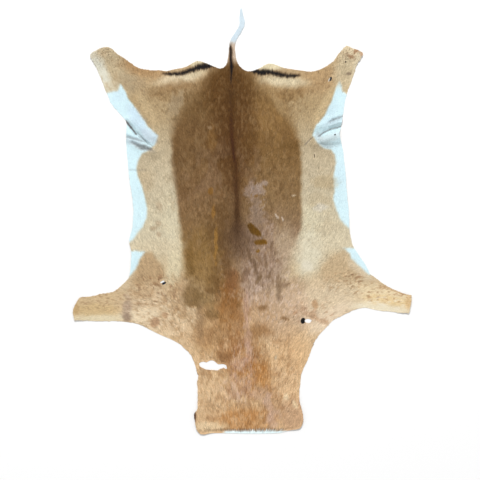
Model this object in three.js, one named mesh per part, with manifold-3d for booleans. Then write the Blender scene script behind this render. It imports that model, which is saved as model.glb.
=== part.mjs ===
// Impala hide: one hair-on skin with its tail, laid out flat with the hair side up.
//
// Millimetres. The neck's cut edge faces -Y, the tail points to +Y, the left legs of the
// skin lie on -X, and the flesh side rests on z = 0. The tables measure from a point on
// the spine, and the mesh is then moved so that the middle of the hide's box is at x = y = 0.

import * as THREE from 'three';
import { mergeVertices } from 'three/addons/utils/BufferGeometryUtils.js';
import Module from 'manifold-3d';

// Sizes of the sheet: skin with its lying hair.
const RIM_DEPTH = 2.2;
const RIPPLE_RISE = 0.5;
const RIPPLE_LENGTH = 78;

// Steps of the outline and of the grid that carries the relief.
const EDGE_STEP = 12;
const HOLE_STEP = 5;
const WIDE_CELL = 29;
const FOLD_CELL = 11;
const TAIL_CELL = 8;
const GRID_MARGIN = 6;
const CUTTER_HEIGHT = 40;
const BELOW_FLOOR = -8;
const FLOOR_CONTACT = 0.5;

// Sections across the hide: the x of its left and right edge at each y.
const TAIL = [
  { y: 640, left: -3.5, right: -1 },
  { y: 626, left: -5, right: 0.5 },
  { y: 612, left: -6, right: 4 },
  { y: 600, left: -5.5, right: 7.5 },
  { y: 592, left: -6, right: 8.2 },
  { y: 584, left: -9, right: 5 },
  { y: 572, left: -16, right: -2 },
  { y: 558, left: -25, right: -10 },
  { y: 545, left: -33, right: -16 },
  { y: 530, left: -37, right: -23 },
  { y: 512, left: -38, right: -22 },
  { y: 490, left: -41, right: -19.5 },
  { y: 476, left: -43, right: -15 },
  { y: 466, left: -49, right: -8 },
];

const FLANKS = [
  { y: 280, left: -346, right: 296 },
  { y: 262, left: -346, right: 291 },
  { y: 244, left: -346, right: 295.5 },
  { y: 215, left: -345, right: 302 },
  { y: 180, left: -342, right: 306 },
  { y: 130, left: -337, right: 310.5 },
  { y: 85, left: -330, right: 313.5 },
  { y: 42, left: -325, right: 318 },
  { y: 0, left: -326, right: 320.5 },
  { y: -25, left: -329, right: 321 },
  { y: -45, left: -335, right: 325 },
  { y: -60, left: -338, right: 328 },
  { y: -75, left: -334, right: 333 },
  { y: -92, left: -331, right: 344 },
  { y: -110, left: -331, right: 356 },
  { y: -128, left: -332.5, right: 369 },
  { y: -148, left: -333.5, right: 379 },
];

const NECK = [
  { y: -374, left: -178, right: 211 },
  { y: -387, left: -165, right: 207 },
  { y: -400, left: -152, right: 201 },
  { y: -415, left: -145, right: 195 },
  { y: -431, left: -139, right: 187.5 },
  { y: -451, left: -134, right: 179 },
  { y: -465, left: -129, right: 175 },
  { y: -478, left: -134, right: 174.5 },
  { y: -496, left: -132, right: 172 },
  { y: -520, left: -132, right: 170 },
  { y: -540, left: -132, right: 172 },
  { y: -558, left: -132, right: 177 },
  { y: -570, left: -137, right: 180 },
  { y: -579, left: -146, right: 182 },
  { y: -591, left: -139, right: 183 },
  { y: -608, left: -139.5, right: 181 },
];

// Edges that run across the hide, in the order in which the outline passes them: down the
// right side from the tail to the neck, then up the left side. They meet at corners.
const columnsXY = (...rows) => rows.map(([x, y]) => ({ x, y }));

const RIGHT_RUMP = columnsXY(
  [0, 458], [10, 452], [20, 450], [29, 450.6], [45, 456], [61, 463], [72, 470.5], [85, 473.5],
  [101, 469.5], [123, 461], [150, 456], [181, 452], [202, 449], [223, 451.5], [250, 463], [273, 478],
);
const RIGHT_HIND_LEG = {
  upper: columnsXY([273, 478], [283, 493], [293, 506], [313, 527]),
  end: columnsXY([313, 527], [322, 523], [332, 518], [345, 514.5], [364, 505]),
  lower: columnsXY(
    [364, 505], [355, 487], [346.5, 476], [340, 457.5], [333, 437], [325, 413], [317, 393],
    [311, 373], [307, 354], [303, 325], [299, 300],
  ),
};
const RIGHT_FORELEG = {
  upper: columnsXY([382, -156], [397, -167], [416, -182], [437, -196], [466, -209], [485, -217], [508, -221.5]),
  end: columnsXY([508, -221.5], [507, -242], [504, -256], [501, -274]),
  lower: columnsXY(
    [501, -274], [478, -274], [462, -272], [432, -269], [403, -265.5], [388, -262], [370, -258],
    [351, -261], [328, -268], [305, -280], [279, -292], [265, -304], [248, -322], [232, -339], [220, -354],
  ),
};
const NECK_CUT = columnsXY(
  [173, -621], [158, -624], [138, -627], [114, -634], [69, -636], [9, -636], [-60, -634.5],
  [-95, -635], [-120, -639], [-134, -628],
);
const LEFT_FORELEG = {
  lower: columnsXY(
    [-186, -368], [-209, -355], [-237, -343], [-263, -331], [-295, -314], [-320, -305], [-347, -301],
    [-385, -298], [-433, -299], [-470, -296], [-503, -296],
  ),
  end: columnsXY([-503, -296], [-504, -284], [-507, -274], [-506, -264], [-501, -252], [-490, -232]),
  upper: columnsXY(
    [-490, -232], [-481, -227], [-445, -224], [-421, -217], [-393, -214], [-376, -205], [-351, -183],
    [-339, -168],
  ),
};
const LEFT_HIND_LEG = {
  lower: columnsXY(
    [-346, 296], [-348, 303], [-364, 320], [-381, 340], [-390, 350], [-405, 384], [-416, 414],
    [-427, 439], [-437, 462], [-448, 482], [-456, 497],
  ),
  end: columnsXY([-456, 497], [-451, 505], [-439, 511], [-419, 521], [-397, 521], [-388, 516]),
  upper: columnsXY([-388, 516], [-375, 502], [-355, 489], [-339, 478], [-310, 459], [-290, 456]),
};
const LEFT_RUMP = columnsXY(
  [-272, 453], [-246, 453], [-225, 450], [-209, 455], [-176, 461], [-161, 467], [-149, 474],
  [-134, 481.5], [-121, 479], [-102, 472], [-83, 464], [-67, 458], [-57, 460],
);

// Openings that go right through the skin: a ragged tear across the neck, close to its left
// edge, and a small hole in the right shoulder.
const NECK_TEAR = columnsXY(
  [-133, -431], [-126, -423], [-114, -420], [-108, -423], [-99, -418], [-92, -416], [-84, -418],
  [-76, -424.5], [-70, -429], [-61.5, -427], [-51, -429], [-45, -433], [-43.5, -439.5],
  [-45, -444.6], [-49.5, -444], [-52, -439], [-60, -441], [-68, -443], [-72, -447], [-85.5, -446],
  [-106, -444.6], [-114, -442], [-126, -435],
);
const SHOULDER_HOLE = { x: 199, y: -298.5, length: 23, width: 14, turn: -8, corners: 14 };

// How deep the skin and its hair lie along the hide, and how far from the edge the full
// depth is reached. The neck's hair is the longest, and the tail is a rounded strip.
const SECTIONS = [
  { y: 641, depth: 6.5, taper: 5 },
  { y: 600, depth: 9.5, taper: 7 },
  { y: 500, depth: 9, taper: 9 },
  { y: 462, depth: 7, taper: 14 },
  { y: 430, depth: 3.8, taper: 40 },
  { y: 0, depth: 4.2, taper: 60 },
  { y: -260, depth: 4.4, taper: 60 },
  { y: -400, depth: 5.6, taper: 45 },
  { y: -640, depth: 6, taper: 24 },
];

// Folds, where the skin leaves the floor: a crest from x1, y1 to x2, y2, its rise, and how
// far it reaches to each side. The puckers at the groins are pairs with a crease between.
const FOLDS = [
  { name: 'left groin, above the crease', x1: -332, y1: 303, x2: -270, y2: 252, rise: 10, reach: 26 },
  { name: 'left groin, below the crease', x1: -352, y1: 268, x2: -262, y2: 208, rise: 12, reach: 27 },
  { name: 'right groin, above the crease', x1: 226, y1: 286, x2: 300, y2: 303, rise: 9, reach: 24 },
  { name: 'right groin, below the crease', x1: 222, y1: 238, x2: 302, y2: 256, rise: 12, reach: 27 },
  { name: 'left hind leg', x1: -455, y1: 512, x2: -405, y2: 522, rise: 7, reach: 60 },
  { name: 'right hind leg', x1: 325, y1: 525, x2: 368, y2: 505, rise: 7, reach: 58 },
  { name: 'left belly', x1: -340, y1: 110, x2: -338, y2: -20, rise: 5, reach: 62 },
  { name: 'right belly', x1: 322, y1: 130, x2: 330, y2: -10, rise: 5, reach: 60 },
  { name: 'left elbow', x1: -345, y1: -90, x2: -335, y2: -150, rise: 6, reach: 52 },
  { name: 'left foreleg', x1: -515, y1: -290, x2: -500, y2: -235, rise: 7, reach: 66 },
  { name: 'right foreleg', x1: 515, y1: -278, x2: 512, y2: -220, rise: 7, reach: 66 },
  { name: 'left end of the neck', x1: -150, y1: -560, x2: -130, y2: -640, rise: 6, reach: 64 },
  { name: 'right end of the neck', x1: 185, y1: -550, x2: 175, y2: -625, rise: 6, reach: 60 },
];

const vectors = (rows) => rows.map(({ x, y }) => new THREE.Vector2(x, y));

// Points about one step apart on a smooth curve through the rows.
function alongCurve(rows, step) {
  const curve = new THREE.SplineCurve(vectors(rows));
  return curve.getSpacedPoints(Math.max(1, Math.round(curve.getLength() / step)));
}

function rightEdge(sections) {
  return sections.map(({ y, right }) => ({ x: right, y }));
}

function leftEdge(sections) {
  return sections.map(({ y, left }) => ({ x: left, y })).reverse();
}

function hideOutline() {
  const stretches = [
    [...rightEdge(TAIL), ...RIGHT_RUMP],
    RIGHT_HIND_LEG.upper,
    RIGHT_HIND_LEG.end,
    [...RIGHT_HIND_LEG.lower, ...rightEdge(FLANKS), ...RIGHT_FORELEG.upper],
    RIGHT_FORELEG.end,
    [...RIGHT_FORELEG.lower, ...rightEdge(NECK), ...NECK_CUT, ...leftEdge(NECK), ...LEFT_FORELEG.lower],
    LEFT_FORELEG.end,
    [...LEFT_FORELEG.upper, ...leftEdge(FLANKS), LEFT_HIND_LEG.lower[0]],
    LEFT_HIND_LEG.lower,
    LEFT_HIND_LEG.end,
    [...LEFT_HIND_LEG.upper, ...LEFT_RUMP, ...leftEdge(TAIL)],
    [leftEdge(TAIL).at(-1), rightEdge(TAIL)[0]],
  ];
  // Each stretch ends where the next one begins, so its last point is left to the next.
  return stretches.flatMap((rows) => alongCurve(rows, EDGE_STEP).slice(0, -1));
}

// The hide's outline runs clockwise, so its openings run the other way.
function tearOutline() {
  return alongCurve([...NECK_TEAR, NECK_TEAR[0]], HOLE_STEP).slice(0, -1).reverse();
}

function holeOutline({ x, y, length, width, turn, corners }) {
  const ellipse = new THREE.EllipseCurve(
    x, y, length / 2, width / 2, 0, 2 * Math.PI, false, THREE.MathUtils.degToRad(turn));
  return ellipse.getPoints(corners).slice(0, -1);
}

function distanceToSegment(x, y, a, b) {
  const along = new THREE.Vector2(b.x - a.x, b.y - a.y);
  const reach = along.lengthSq();
  const share = THREE.MathUtils.clamp(((x - a.x) * along.x + (y - a.y) * along.y) / reach, 0, 1);
  return Math.hypot(x - a.x - along.x * share, y - a.y - along.y * share);
}

function distanceToLoop(x, y, loop) {
  return Math.min(...loop.map((a, i) => distanceToSegment(x, y, a, loop[(i + 1) % loop.length])));
}

// The section at a given y, between the two rows that enclose it.
function sectionAt(y) {
  const next = Math.max(1, SECTIONS.findIndex((row) => row.y <= y));
  const [above, below] = [SECTIONS[next - 1], SECTIONS[next]];
  const share = THREE.MathUtils.clamp((above.y - y) / (above.y - below.y), 0, 1);
  return {
    depth: THREE.MathUtils.lerp(above.depth, below.depth, share),
    taper: THREE.MathUtils.lerp(above.taper, below.taper, share),
  };
}

function sheetDepth(x, y, fromEdge) {
  const { depth, taper } = sectionAt(y);
  const fullness = THREE.MathUtils.smoothstep(fromEdge, 0, taper);
  const ripple = RIPPLE_RISE * Math.sin(x / RIPPLE_LENGTH) * Math.cos(y / RIPPLE_LENGTH);
  return RIM_DEPTH + (depth - RIM_DEPTH + ripple) * fullness;
}

// How far the skin is off the floor: the highest fold that reaches the point.
function foldLift(x, y) {
  const lifts = FOLDS.map(({ x1, y1, x2, y2, rise, reach }) => {
    const off = distanceToSegment(x, y, { x: x1, y: y1 }, { x: x2, y: y2 });
    return off < reach ? rise * 0.5 * (1 + Math.cos((Math.PI * off) / reach)) : 0;
  });
  return Math.max(...lifts);
}

// Grid lines from the first stop to the last, with each band's own cell size.
function gridLines(bands) {
  const lines = [bands[0].from];
  for (const { from, to, cell } of bands) {
    const count = Math.max(1, Math.round((to - from) / cell));
    for (let i = 1; i <= count; i += 1) lines.push(from + ((to - from) * i) / count);
  }
  return lines;
}

// A closed slab on graded grid lines, from below the floor up to the given height.
function reliefSlab(box, heightAt) {
  const xs = gridLines([
    { from: box.min.x - GRID_MARGIN, to: -364, cell: WIDE_CELL },
    { from: -364, to: -236, cell: FOLD_CELL },
    { from: -236, to: -52, cell: WIDE_CELL },
    { from: -52, to: 13, cell: TAIL_CELL },
    { from: 13, to: 204, cell: WIDE_CELL },
    { from: 204, to: 330, cell: FOLD_CELL },
    { from: 330, to: box.max.x + GRID_MARGIN, cell: WIDE_CELL },
  ]);
  const ys = gridLines([
    { from: box.min.y - GRID_MARGIN, to: 186, cell: WIDE_CELL },
    { from: 186, to: 330, cell: FOLD_CELL },
    { from: 330, to: box.max.y + GRID_MARGIN, cell: WIDE_CELL },
  ]);
  // One unit a cell, so that each corner's place names its grid line.
  const slab = plainMesh(new THREE.BoxGeometry(xs.length - 1, ys.length - 1, 1, xs.length - 1, ys.length - 1, 1));
  const place = slab.getAttribute('position');
  for (let i = 0; i < place.count; i += 1) {
    const x = xs[Math.round(place.getX(i) + (xs.length - 1) / 2)];
    const y = ys[Math.round(place.getY(i) + (ys.length - 1) / 2)];
    place.setXYZ(i, x, y, place.getZ(i) > 0 ? heightAt(x, y) : BELOW_FLOOR);
  }
  return slab;
}

function outlineCutter(loop, holes) {
  const shape = new THREE.Shape(loop);
  shape.holes = holes.map((hole) => new THREE.Path(hole));
  return plainMesh(new THREE.ExtrudeGeometry(shape, { depth: CUTTER_HEIGHT, bevelEnabled: false }));
}

// A geometry with nothing but its places, so that corners in one place become one.
function plainMesh(geometry) {
  geometry.deleteAttribute('normal');
  geometry.deleteAttribute('uv');
  return mergeVertices(geometry);
}

const wasm = await Module();
wasm.setup();

function toSolid(geometry) {
  return new wasm.Manifold(new wasm.Mesh({
    numProp: 3,
    vertProperties: new Float32Array(geometry.getAttribute('position').array),
    triVerts: new Uint32Array(geometry.getIndex().array),
  }));
}

function toGeometry(solid) {
  const { vertProperties, triVerts } = solid.getMesh();
  const geometry = new THREE.BufferGeometry();
  geometry.setAttribute('position', new THREE.BufferAttribute(vertProperties, 3));
  geometry.setIndex(new THREE.BufferAttribute(triVerts, 1));
  geometry.computeVertexNormals();
  return geometry;
}

function buildHide() {
  const loop = hideOutline();
  const box = new THREE.Box2().setFromPoints(loop);
  const cutter = outlineCutter(loop, [tearOutline(), holeOutline(SHOULDER_HOLE)]);
  const top = reliefSlab(box, (x, y) => foldLift(x, y) + sheetDepth(x, y, distanceToLoop(x, y, loop)));
  const hollows = reliefSlab(box, (x, y) => foldLift(x, y) - FLOOR_CONTACT);
  const sheet = toSolid(top).intersect(toSolid(cutter)).subtract(toSolid(hollows));

  const coat = new THREE.MeshStandardMaterial({ color: '#b59468', roughness: 0.75, metalness: 0 });
  const mesh = new THREE.Mesh(toGeometry(sheet), coat);
  mesh.name = 'hide';
  const middle = box.getCenter(new THREE.Vector2());
  mesh.position.set(-middle.x, -middle.y, 0);
  return mesh;
}

const hide = new THREE.Group();
hide.add(buildHide());

export default hide;
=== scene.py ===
# %% [markdown]
# # An impala hide, laid flat with its hair up
# The real thing is one tanned skin. Its flesh side is pale suede, its hair side is a coat of
# short lying hair, longer on the neck and the tail. Nothing is sewn to it. The CAD frame holds
# the sheet at its real size, with its outline, its two openings and the folds where it leaves
# the floor. This script dresses that sheet: a fine skin in the same place, and the hair on it.

# %% Load the frame
import math

import bmesh
import bpy
import numpy as np
from mathutils import Matrix, Vector
from mathutils.bvhtree import BVHTree


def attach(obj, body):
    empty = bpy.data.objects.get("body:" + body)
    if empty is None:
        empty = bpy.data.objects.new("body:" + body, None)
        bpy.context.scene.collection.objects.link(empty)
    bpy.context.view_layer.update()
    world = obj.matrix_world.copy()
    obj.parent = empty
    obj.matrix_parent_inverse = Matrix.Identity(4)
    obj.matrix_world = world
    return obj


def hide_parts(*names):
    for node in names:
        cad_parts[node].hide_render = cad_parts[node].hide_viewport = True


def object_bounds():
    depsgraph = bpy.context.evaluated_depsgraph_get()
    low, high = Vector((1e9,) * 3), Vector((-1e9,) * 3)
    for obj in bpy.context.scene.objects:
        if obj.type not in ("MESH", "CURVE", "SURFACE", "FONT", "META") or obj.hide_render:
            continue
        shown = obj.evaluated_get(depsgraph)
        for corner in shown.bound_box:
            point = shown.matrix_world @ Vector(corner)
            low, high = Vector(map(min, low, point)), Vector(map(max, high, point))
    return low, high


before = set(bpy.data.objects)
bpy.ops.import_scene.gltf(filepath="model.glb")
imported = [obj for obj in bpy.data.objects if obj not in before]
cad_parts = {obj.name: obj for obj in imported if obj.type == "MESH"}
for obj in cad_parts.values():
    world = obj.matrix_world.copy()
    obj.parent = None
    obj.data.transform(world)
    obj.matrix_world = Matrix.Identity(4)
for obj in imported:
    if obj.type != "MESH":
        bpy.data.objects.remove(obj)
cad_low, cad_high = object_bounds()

MM = 0.001
SEED = 41
chance = np.random.default_rng(SEED)
print("CAD box in mm:", [round(v / MM, 1) for v in (*cad_low, *cad_high)])

# %% [markdown]
# ## Camera
# The hide is seen face on, so the camera hangs straight above it. It is a long way up and has a
# long lens, which keeps the raised folds from leaning outwards in the picture.

# %% Camera
VIEW_WIDTH = 1440 * MM
VIEW_CENTRE = (-6.5 * MM, -56.2 * MM)
CAMERA_HEIGHT = 6.0


def make_camera():
    camera = bpy.data.objects.new("camera", bpy.data.cameras.new("camera"))
    camera.data.lens = camera.data.sensor_width * CAMERA_HEIGHT / VIEW_WIDTH
    camera.location = (*VIEW_CENTRE, CAMERA_HEIGHT)
    bpy.context.scene.collection.objects.link(camera)
    bpy.context.scene.camera = camera
    return camera


camera = make_camera()
print("lens in mm:", round(camera.data.lens, 1))

# %% [markdown]
# ## Floor and light
# The light is a pale sky all round and one large soft lamp from beyond the tail, because the
# folds at the groins are darker on the side that faces the neck. The floor is scenery and no
# part of the hide. Two helpers come first: one starts a material, one puts a mesh in the scene.

# %% Floor and light
FLOOR_HALF = 8
FLOOR_COLOUR = (0.90, 0.90, 0.90, 1)
FLOOR_ROUGHNESS = 0.9
SKY_COLOUR = (1, 1, 1, 1)
SKY_STRENGTH = 0.60
LAMP_POWER = 620
LAMP_SIZE = 2.4
LAMP_PLACE = Vector((-0.5, 5.4, 7.4))


def new_material(name):
    """A material with its shader, and two functions that add and link its nodes."""
    material = bpy.data.materials.new(name)
    material.use_nodes = True
    nodes = material.node_tree.nodes
    shader = nodes["Principled BSDF"]

    def add(kind, **inputs):
        node = nodes.new(kind)
        for key, value in inputs.items():
            node.inputs[key.replace("_", " ")].default_value = value
        return node

    return material, shader, add, material.node_tree.links.new


def add_object(name, mesh, *materials):
    piece = bpy.data.objects.new(name, mesh)
    bpy.context.scene.collection.objects.link(piece)
    for material in materials:
        mesh.materials.append(material)
    return piece


def make_floor():
    bm = bmesh.new()
    bmesh.ops.create_grid(bm, x_segments=1, y_segments=1, size=FLOOR_HALF)
    mesh = bpy.data.meshes.new("floor")
    bm.to_mesh(mesh)
    bm.free()
    material, shader, add, link = new_material("pale_floor")
    shader.inputs["Base Color"].default_value = FLOOR_COLOUR
    shader.inputs["Roughness"].default_value = FLOOR_ROUGHNESS
    floor = add_object("floor", mesh, material)


def make_light():
    world = bpy.data.worlds.new("sky")
    world.use_nodes = True
    sky = world.node_tree.nodes["Background"]
    sky.inputs["Color"].default_value = SKY_COLOUR
    sky.inputs["Strength"].default_value = SKY_STRENGTH
    bpy.context.scene.world = world
    lamp = bpy.data.objects.new("lamp", bpy.data.lights.new("lamp", "AREA"))
    lamp.data.energy = LAMP_POWER
    lamp.data.size = LAMP_SIZE
    lamp.location = LAMP_PLACE
    lamp.rotation_euler = (-LAMP_PLACE).to_track_quat("-Z", "Y").to_euler()
    bpy.context.scene.collection.objects.link(lamp)


bpy.context.scene.view_settings.view_transform = "Standard"
make_floor()
make_light()
print("floor, sky and lamp made, lamp", round(LAMP_PLACE.length, 1), "m away")

# %% [markdown]
# ## Rim of the sheet
# Skin and hair have to lie where the CAD sheet lies, so its rim is read from the frame. It is
# made of the edges where the upright side wall meets the underside: one of the two faces at
# such an edge looks down and the other looks sideways.

# %% Rim of the sheet
WELD_GAP = 0.001 * MM
LOOKS_DOWN = -0.5
LOOKS_SIDEWAYS = 0.1


def merged_copy(node):
    bm = bmesh.new()
    bm.from_mesh(node.data)
    bmesh.ops.remove_doubles(bm, verts=bm.verts, dist=WELD_GAP)
    bm.normal_update()
    return bm


def rim_edges(bm):
    """Both ends, in plan, of each edge where the side wall meets the underside."""
    ends = []
    for edge in bm.edges:
        slopes = sorted(face.normal.z for face in edge.link_faces)
        if len(slopes) == 2 and slopes[0] < LOOKS_DOWN and abs(slopes[1]) < LOOKS_SIDEWAYS:
            ends.append([vert.co.xy[:] for vert in edge.verts])
    return np.array(ends)


solid = merged_copy(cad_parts["hide"])
RIM = rim_edges(solid)
rim_length = np.linalg.norm(RIM[:, 1] - RIM[:, 0], axis=1).sum()
print("rim edges:", len(RIM), "length in m:", round(float(rim_length), 2))

# %% [markdown]
# ## Distance from the rim
# The coat thins out towards the rim, hair must not hang far over it, and the skin's own edge
# has to be moved onto it. All three ask how far a place is inside the rim, and where the
# nearest rim is. A place is inside when a line from it crosses the rim an odd number of times.

# %% Distance from the rim
def rim_distance(points, batch=4000):
    """Distance inside the rim, negative outside, and the nearest point of the rim."""
    start, along = RIM[:, 0], RIM[:, 1] - RIM[:, 0]
    length_sq = (along ** 2).sum(1)
    distance, nearest = np.empty(len(points)), np.empty((len(points), 2))
    for first in range(0, len(points), batch):
        p = points[first:first + batch, None]
        share = np.clip(((p - start) * along).sum(2) / length_sq, 0, 1)
        foot = start + share[..., None] * along
        gap = np.hypot(*(p - foot).transpose(2, 0, 1))
        best = gap.argmin(1)
        row = np.arange(len(best))
        above = (RIM[:, 0, 1] > p[..., 1]) != (RIM[:, 1, 1] > p[..., 1])
        rise = np.where(along[:, 1] == 0, 1, along[:, 1])
        crossing = start[:, 0] + (p[..., 1] - start[:, 1]) * along[:, 0] / rise
        inside = (above & (p[..., 0] < crossing)).sum(1) % 2 == 1
        distance[first:first + batch] = np.where(inside, 1, -1) * gap[row, best]
        nearest[first:first + batch] = foot[row, best]
    return distance, nearest


at_middle = rim_distance(np.zeros((1, 2)))[0][0]
print("from the middle of the back to the rim in mm:", round(float(at_middle) / MM))

# %% [markdown]
# ## Charts
# Distances and heights are wanted at hundreds of thousands of places. Each is worked out once on
# an even grid, here called a chart, and read between the grid's places from then on. A chart
# reaches a little past the hide, so that hair hanging over the rim can be placed too.

# %% Charts
CHART_PITCH = 3.5 * MM
CHART_MARGIN = 28 * MM
SHORT_OF_END = 1.001


class Chart:
    """Numbers on an even grid over the hide, read between its places."""

    corner = np.array([cad_low.x, cad_low.y]) - CHART_MARGIN
    columns = int((cad_high.x - cad_low.x + 2 * CHART_MARGIN) / CHART_PITCH) + 2
    rows = int((cad_high.y - cad_low.y + 2 * CHART_MARGIN) / CHART_PITCH) + 2

    def __init__(self, values):
        self.values = np.asarray(values, float).reshape(self.rows, self.columns)

    @classmethod
    def places(cls):
        y, x = np.mgrid[0:cls.rows, 0:cls.columns]
        return np.stack([x.ravel(), y.ravel()], 1) * CHART_PITCH + cls.corner

    def at(self, points):
        u = (points - self.corner) / CHART_PITCH
        u = np.clip(u, 0, [self.columns - SHORT_OF_END, self.rows - SHORT_OF_END])
        i = u.astype(int)
        f = u - i
        v = self.values
        low = v[i[:, 1], i[:, 0]] * (1 - f[:, 0]) + v[i[:, 1], i[:, 0] + 1] * f[:, 0]
        high = v[i[:, 1] + 1, i[:, 0]] * (1 - f[:, 0]) + v[i[:, 1] + 1, i[:, 0] + 1] * f[:, 0]
        return low * (1 - f[:, 1]) + high * f[:, 1]

    def smoothed(self, passes):
        v = self.values
        for _ in range(passes):
            for axis in (0, 1):
                v = (np.roll(v, 1, axis) + 2 * v + np.roll(v, -1, axis)) / 4
        return Chart(v)


places = Chart.places()
from_rim = Chart(rim_distance(places)[0])

# %% [markdown]
# ## Heights of the sheet
# Rays from below and above find the CAD sheet's underside and top. The leather takes the lowest
# 1.6 mm between them and the lying hair takes the rest, which is called the pile here. Past the
# rim there is nothing to hit, so the heights are spread outwards from their neighbours.

# %% Heights of the sheet
SKIN_DEPTH = 1.6 * MM
LEAST_PILE = 0.7 * MM
RAY_START = 100 * MM
SPREAD_ROUNDS = 8
SMOOTHING = 2


def ray_heights(tree, direction):
    """Height at which a ray along Z first meets the sheet, spread outwards past its rim."""
    heights = np.full(len(places), np.nan)
    for k in np.flatnonzero(from_rim.values.ravel() > 0):
        hit = tree.ray_cast((*places[k], -direction * RAY_START), (0, 0, direction))[0]
        if hit is not None:
            heights[k] = hit.z
    grid = heights.reshape(Chart.rows, Chart.columns)
    for _ in range(SPREAD_ROUNDS):
        near = np.stack([np.roll(grid, step, axis) for axis in (0, 1) for step in (1, -1)])
        count = np.isfinite(near).sum(0)
        mean = np.where(count > 0, np.nansum(near, 0) / np.maximum(count, 1), np.nan)
        grid = np.where(np.isfinite(grid), grid, mean)
    return Chart(np.nan_to_num(grid))


tree = BVHTree.FromBMesh(solid)
underside = ray_heights(tree, 1)
above_skin = ray_heights(tree, -1).values - underside.values - SKIN_DEPTH
pile = Chart(np.maximum(above_skin, LEAST_PILE)).smoothed(SMOOTHING)
solid.free()
print("highest underside in mm:", round(underside.values.max() / MM, 1),
      "deepest pile in mm:", round(pile.values.max() / MM, 1))

# %% [markdown]
# ## Creases
# The skin is bunched at both groins. The CAD sheet has the two swells on each side. The fine
# creases between them are drawn here as narrow troughs and ridges, listed in real sizes.

# %% Fine creases
CREASE_FALL = 2
# The last column is painted shade: how much the coat is darkened along each crease.
CREASES = (  # x, y to x, y, rise (a trough is negative), width and how dark it shows, in mm
    (-348, 299, -333, 281, -12, 7, 1.0),
    (-333, 281, -318, 261, -12, 5, 0.95),
    (-318, 261, -268, 224, -4, 4, 0.2),
    (-313, 264, -281, 230, -4, 4, 0.3),
    (-343, 252, -294, 238, -5, 7, 0.25),
    (-330, 236, -300, 219, -7, 8, 0.3),
    (-300, 219, -274, 214, -8, 9, 0.3),
    (231, 255, 244, 266, -8, 4, 0.6),
    (244, 266, 264, 275, -11, 4, 0.65),
    (264, 275, 299, 285, -11, 4, 0.65),
    (262, 296, 274, 304, -5, 6, 0.25),
    (274, 304, 302, 315, -6, 6, 0.3),
    (262, 286, 300, 299, 3, 5, 0),
    (242, 240, 292, 268, 3, 10, 0),
    (236, 232, 256, 222, -4, 8, 0.12),
    (256, 222, 286, 226, -5, 8, 0.12),
    (211, 252, 189, 230, -2, 4, 0.45),
    (-345, 154, -290, 153, -1.2, 5, 0.2),
)


def segment_distance(x, y, x1, y1, x2, y2):
    dx, dy = x2 - x1, y2 - y1
    share = np.clip(((x - x1) * dx + (y - y1) * dy) / (dx * dx + dy * dy), 0, 1)
    return np.hypot(x - x1 - share * dx, y - y1 - share * dy)


def crease_height(x, y):
    height = np.zeros_like(x)
    for x1, y1, x2, y2, rise, width, dark in CREASES:
        off = segment_distance(x, y, x1, y1, x2, y2) / width
        height += rise * np.exp(-CREASE_FALL * off * off)
    return height


smooth_lie = underside.smoothed(SMOOTHING).values.ravel()
creased = smooth_lie + crease_height(*(places / MM).T) * MM
lie = Chart(np.maximum(creased, 0))
print("creases:", len(CREASES), "highest lie in mm:", round(lie.values.max() / MM, 1))

# %% [markdown]
# ## Coat pattern
# An impala is two-toned: a dark saddle over the back, paler tan flanks, a white belly whose
# edge is left on both sides of the skin, a dark line down the spine and black stripes on the
# rump and tail. The pattern is a function of place. It starts from the tan of the flanks and
# lays one named area after another over it. Every lock of hair and every point of the skin asks
# it for a colour. No edge on a real coat is clean, so noise comes first: it moves and breaks up
# all of them. Each noise has a seed, so the coat is the same in every run.

# %% Noise
NOISE_TABLE = 128
NOISE_SHIFT = 4 * NOISE_TABLE


def mottle(x, y, size, seed):
    """Smooth noise from -1 to 1 with lumps of about the given size in mm."""
    table = np.random.default_rng(seed).uniform(-1, 1, (NOISE_TABLE, NOISE_TABLE))
    u, v = x / size + NOISE_SHIFT, y / size + NOISE_SHIFT
    i, j = np.floor(u).astype(int), np.floor(v).astype(int)
    fu, fv = u - i, v - j
    fu, fv = fu * fu * (3 - 2 * fu), fv * fv * (3 - 2 * fv)
    i, j, i1, j1 = i % NOISE_TABLE, j % NOISE_TABLE, (i + 1) % NOISE_TABLE, (j + 1) % NOISE_TABLE
    low = table[j, i] * (1 - fu) + table[j, i1] * fu
    high = table[j1, i] * (1 - fu) + table[j1, i1] * fu
    return low * (1 - fv) + high * fv


def rough(x, y, size, seed):
    """Lumps of one size with lumps of half that size on them."""
    return (mottle(x, y, size, seed) + 0.5 * mottle(x, y, size / 2, seed + 1)) / 1.5


def smooth_step(value, low, high):
    """0 below low, 1 above high, and a soft rise between."""
    share = np.clip((value - low) / (high - low), 0, 1)
    return share * share * (3 - 2 * share)


sample = rough(*(places / MM).T, 16, 3)
print("rough noise runs from", round(sample.min(), 2), "to", round(sample.max(), 2))

# %% [markdown]
# ## Tan, saddle and spine
# The large tones change slowly from the rump at the top to the neck at the bottom, so each is a
# short table with a row for each height. The saddle is darker on the left of the spine than on
# the right and fades out over the shoulders.

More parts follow.
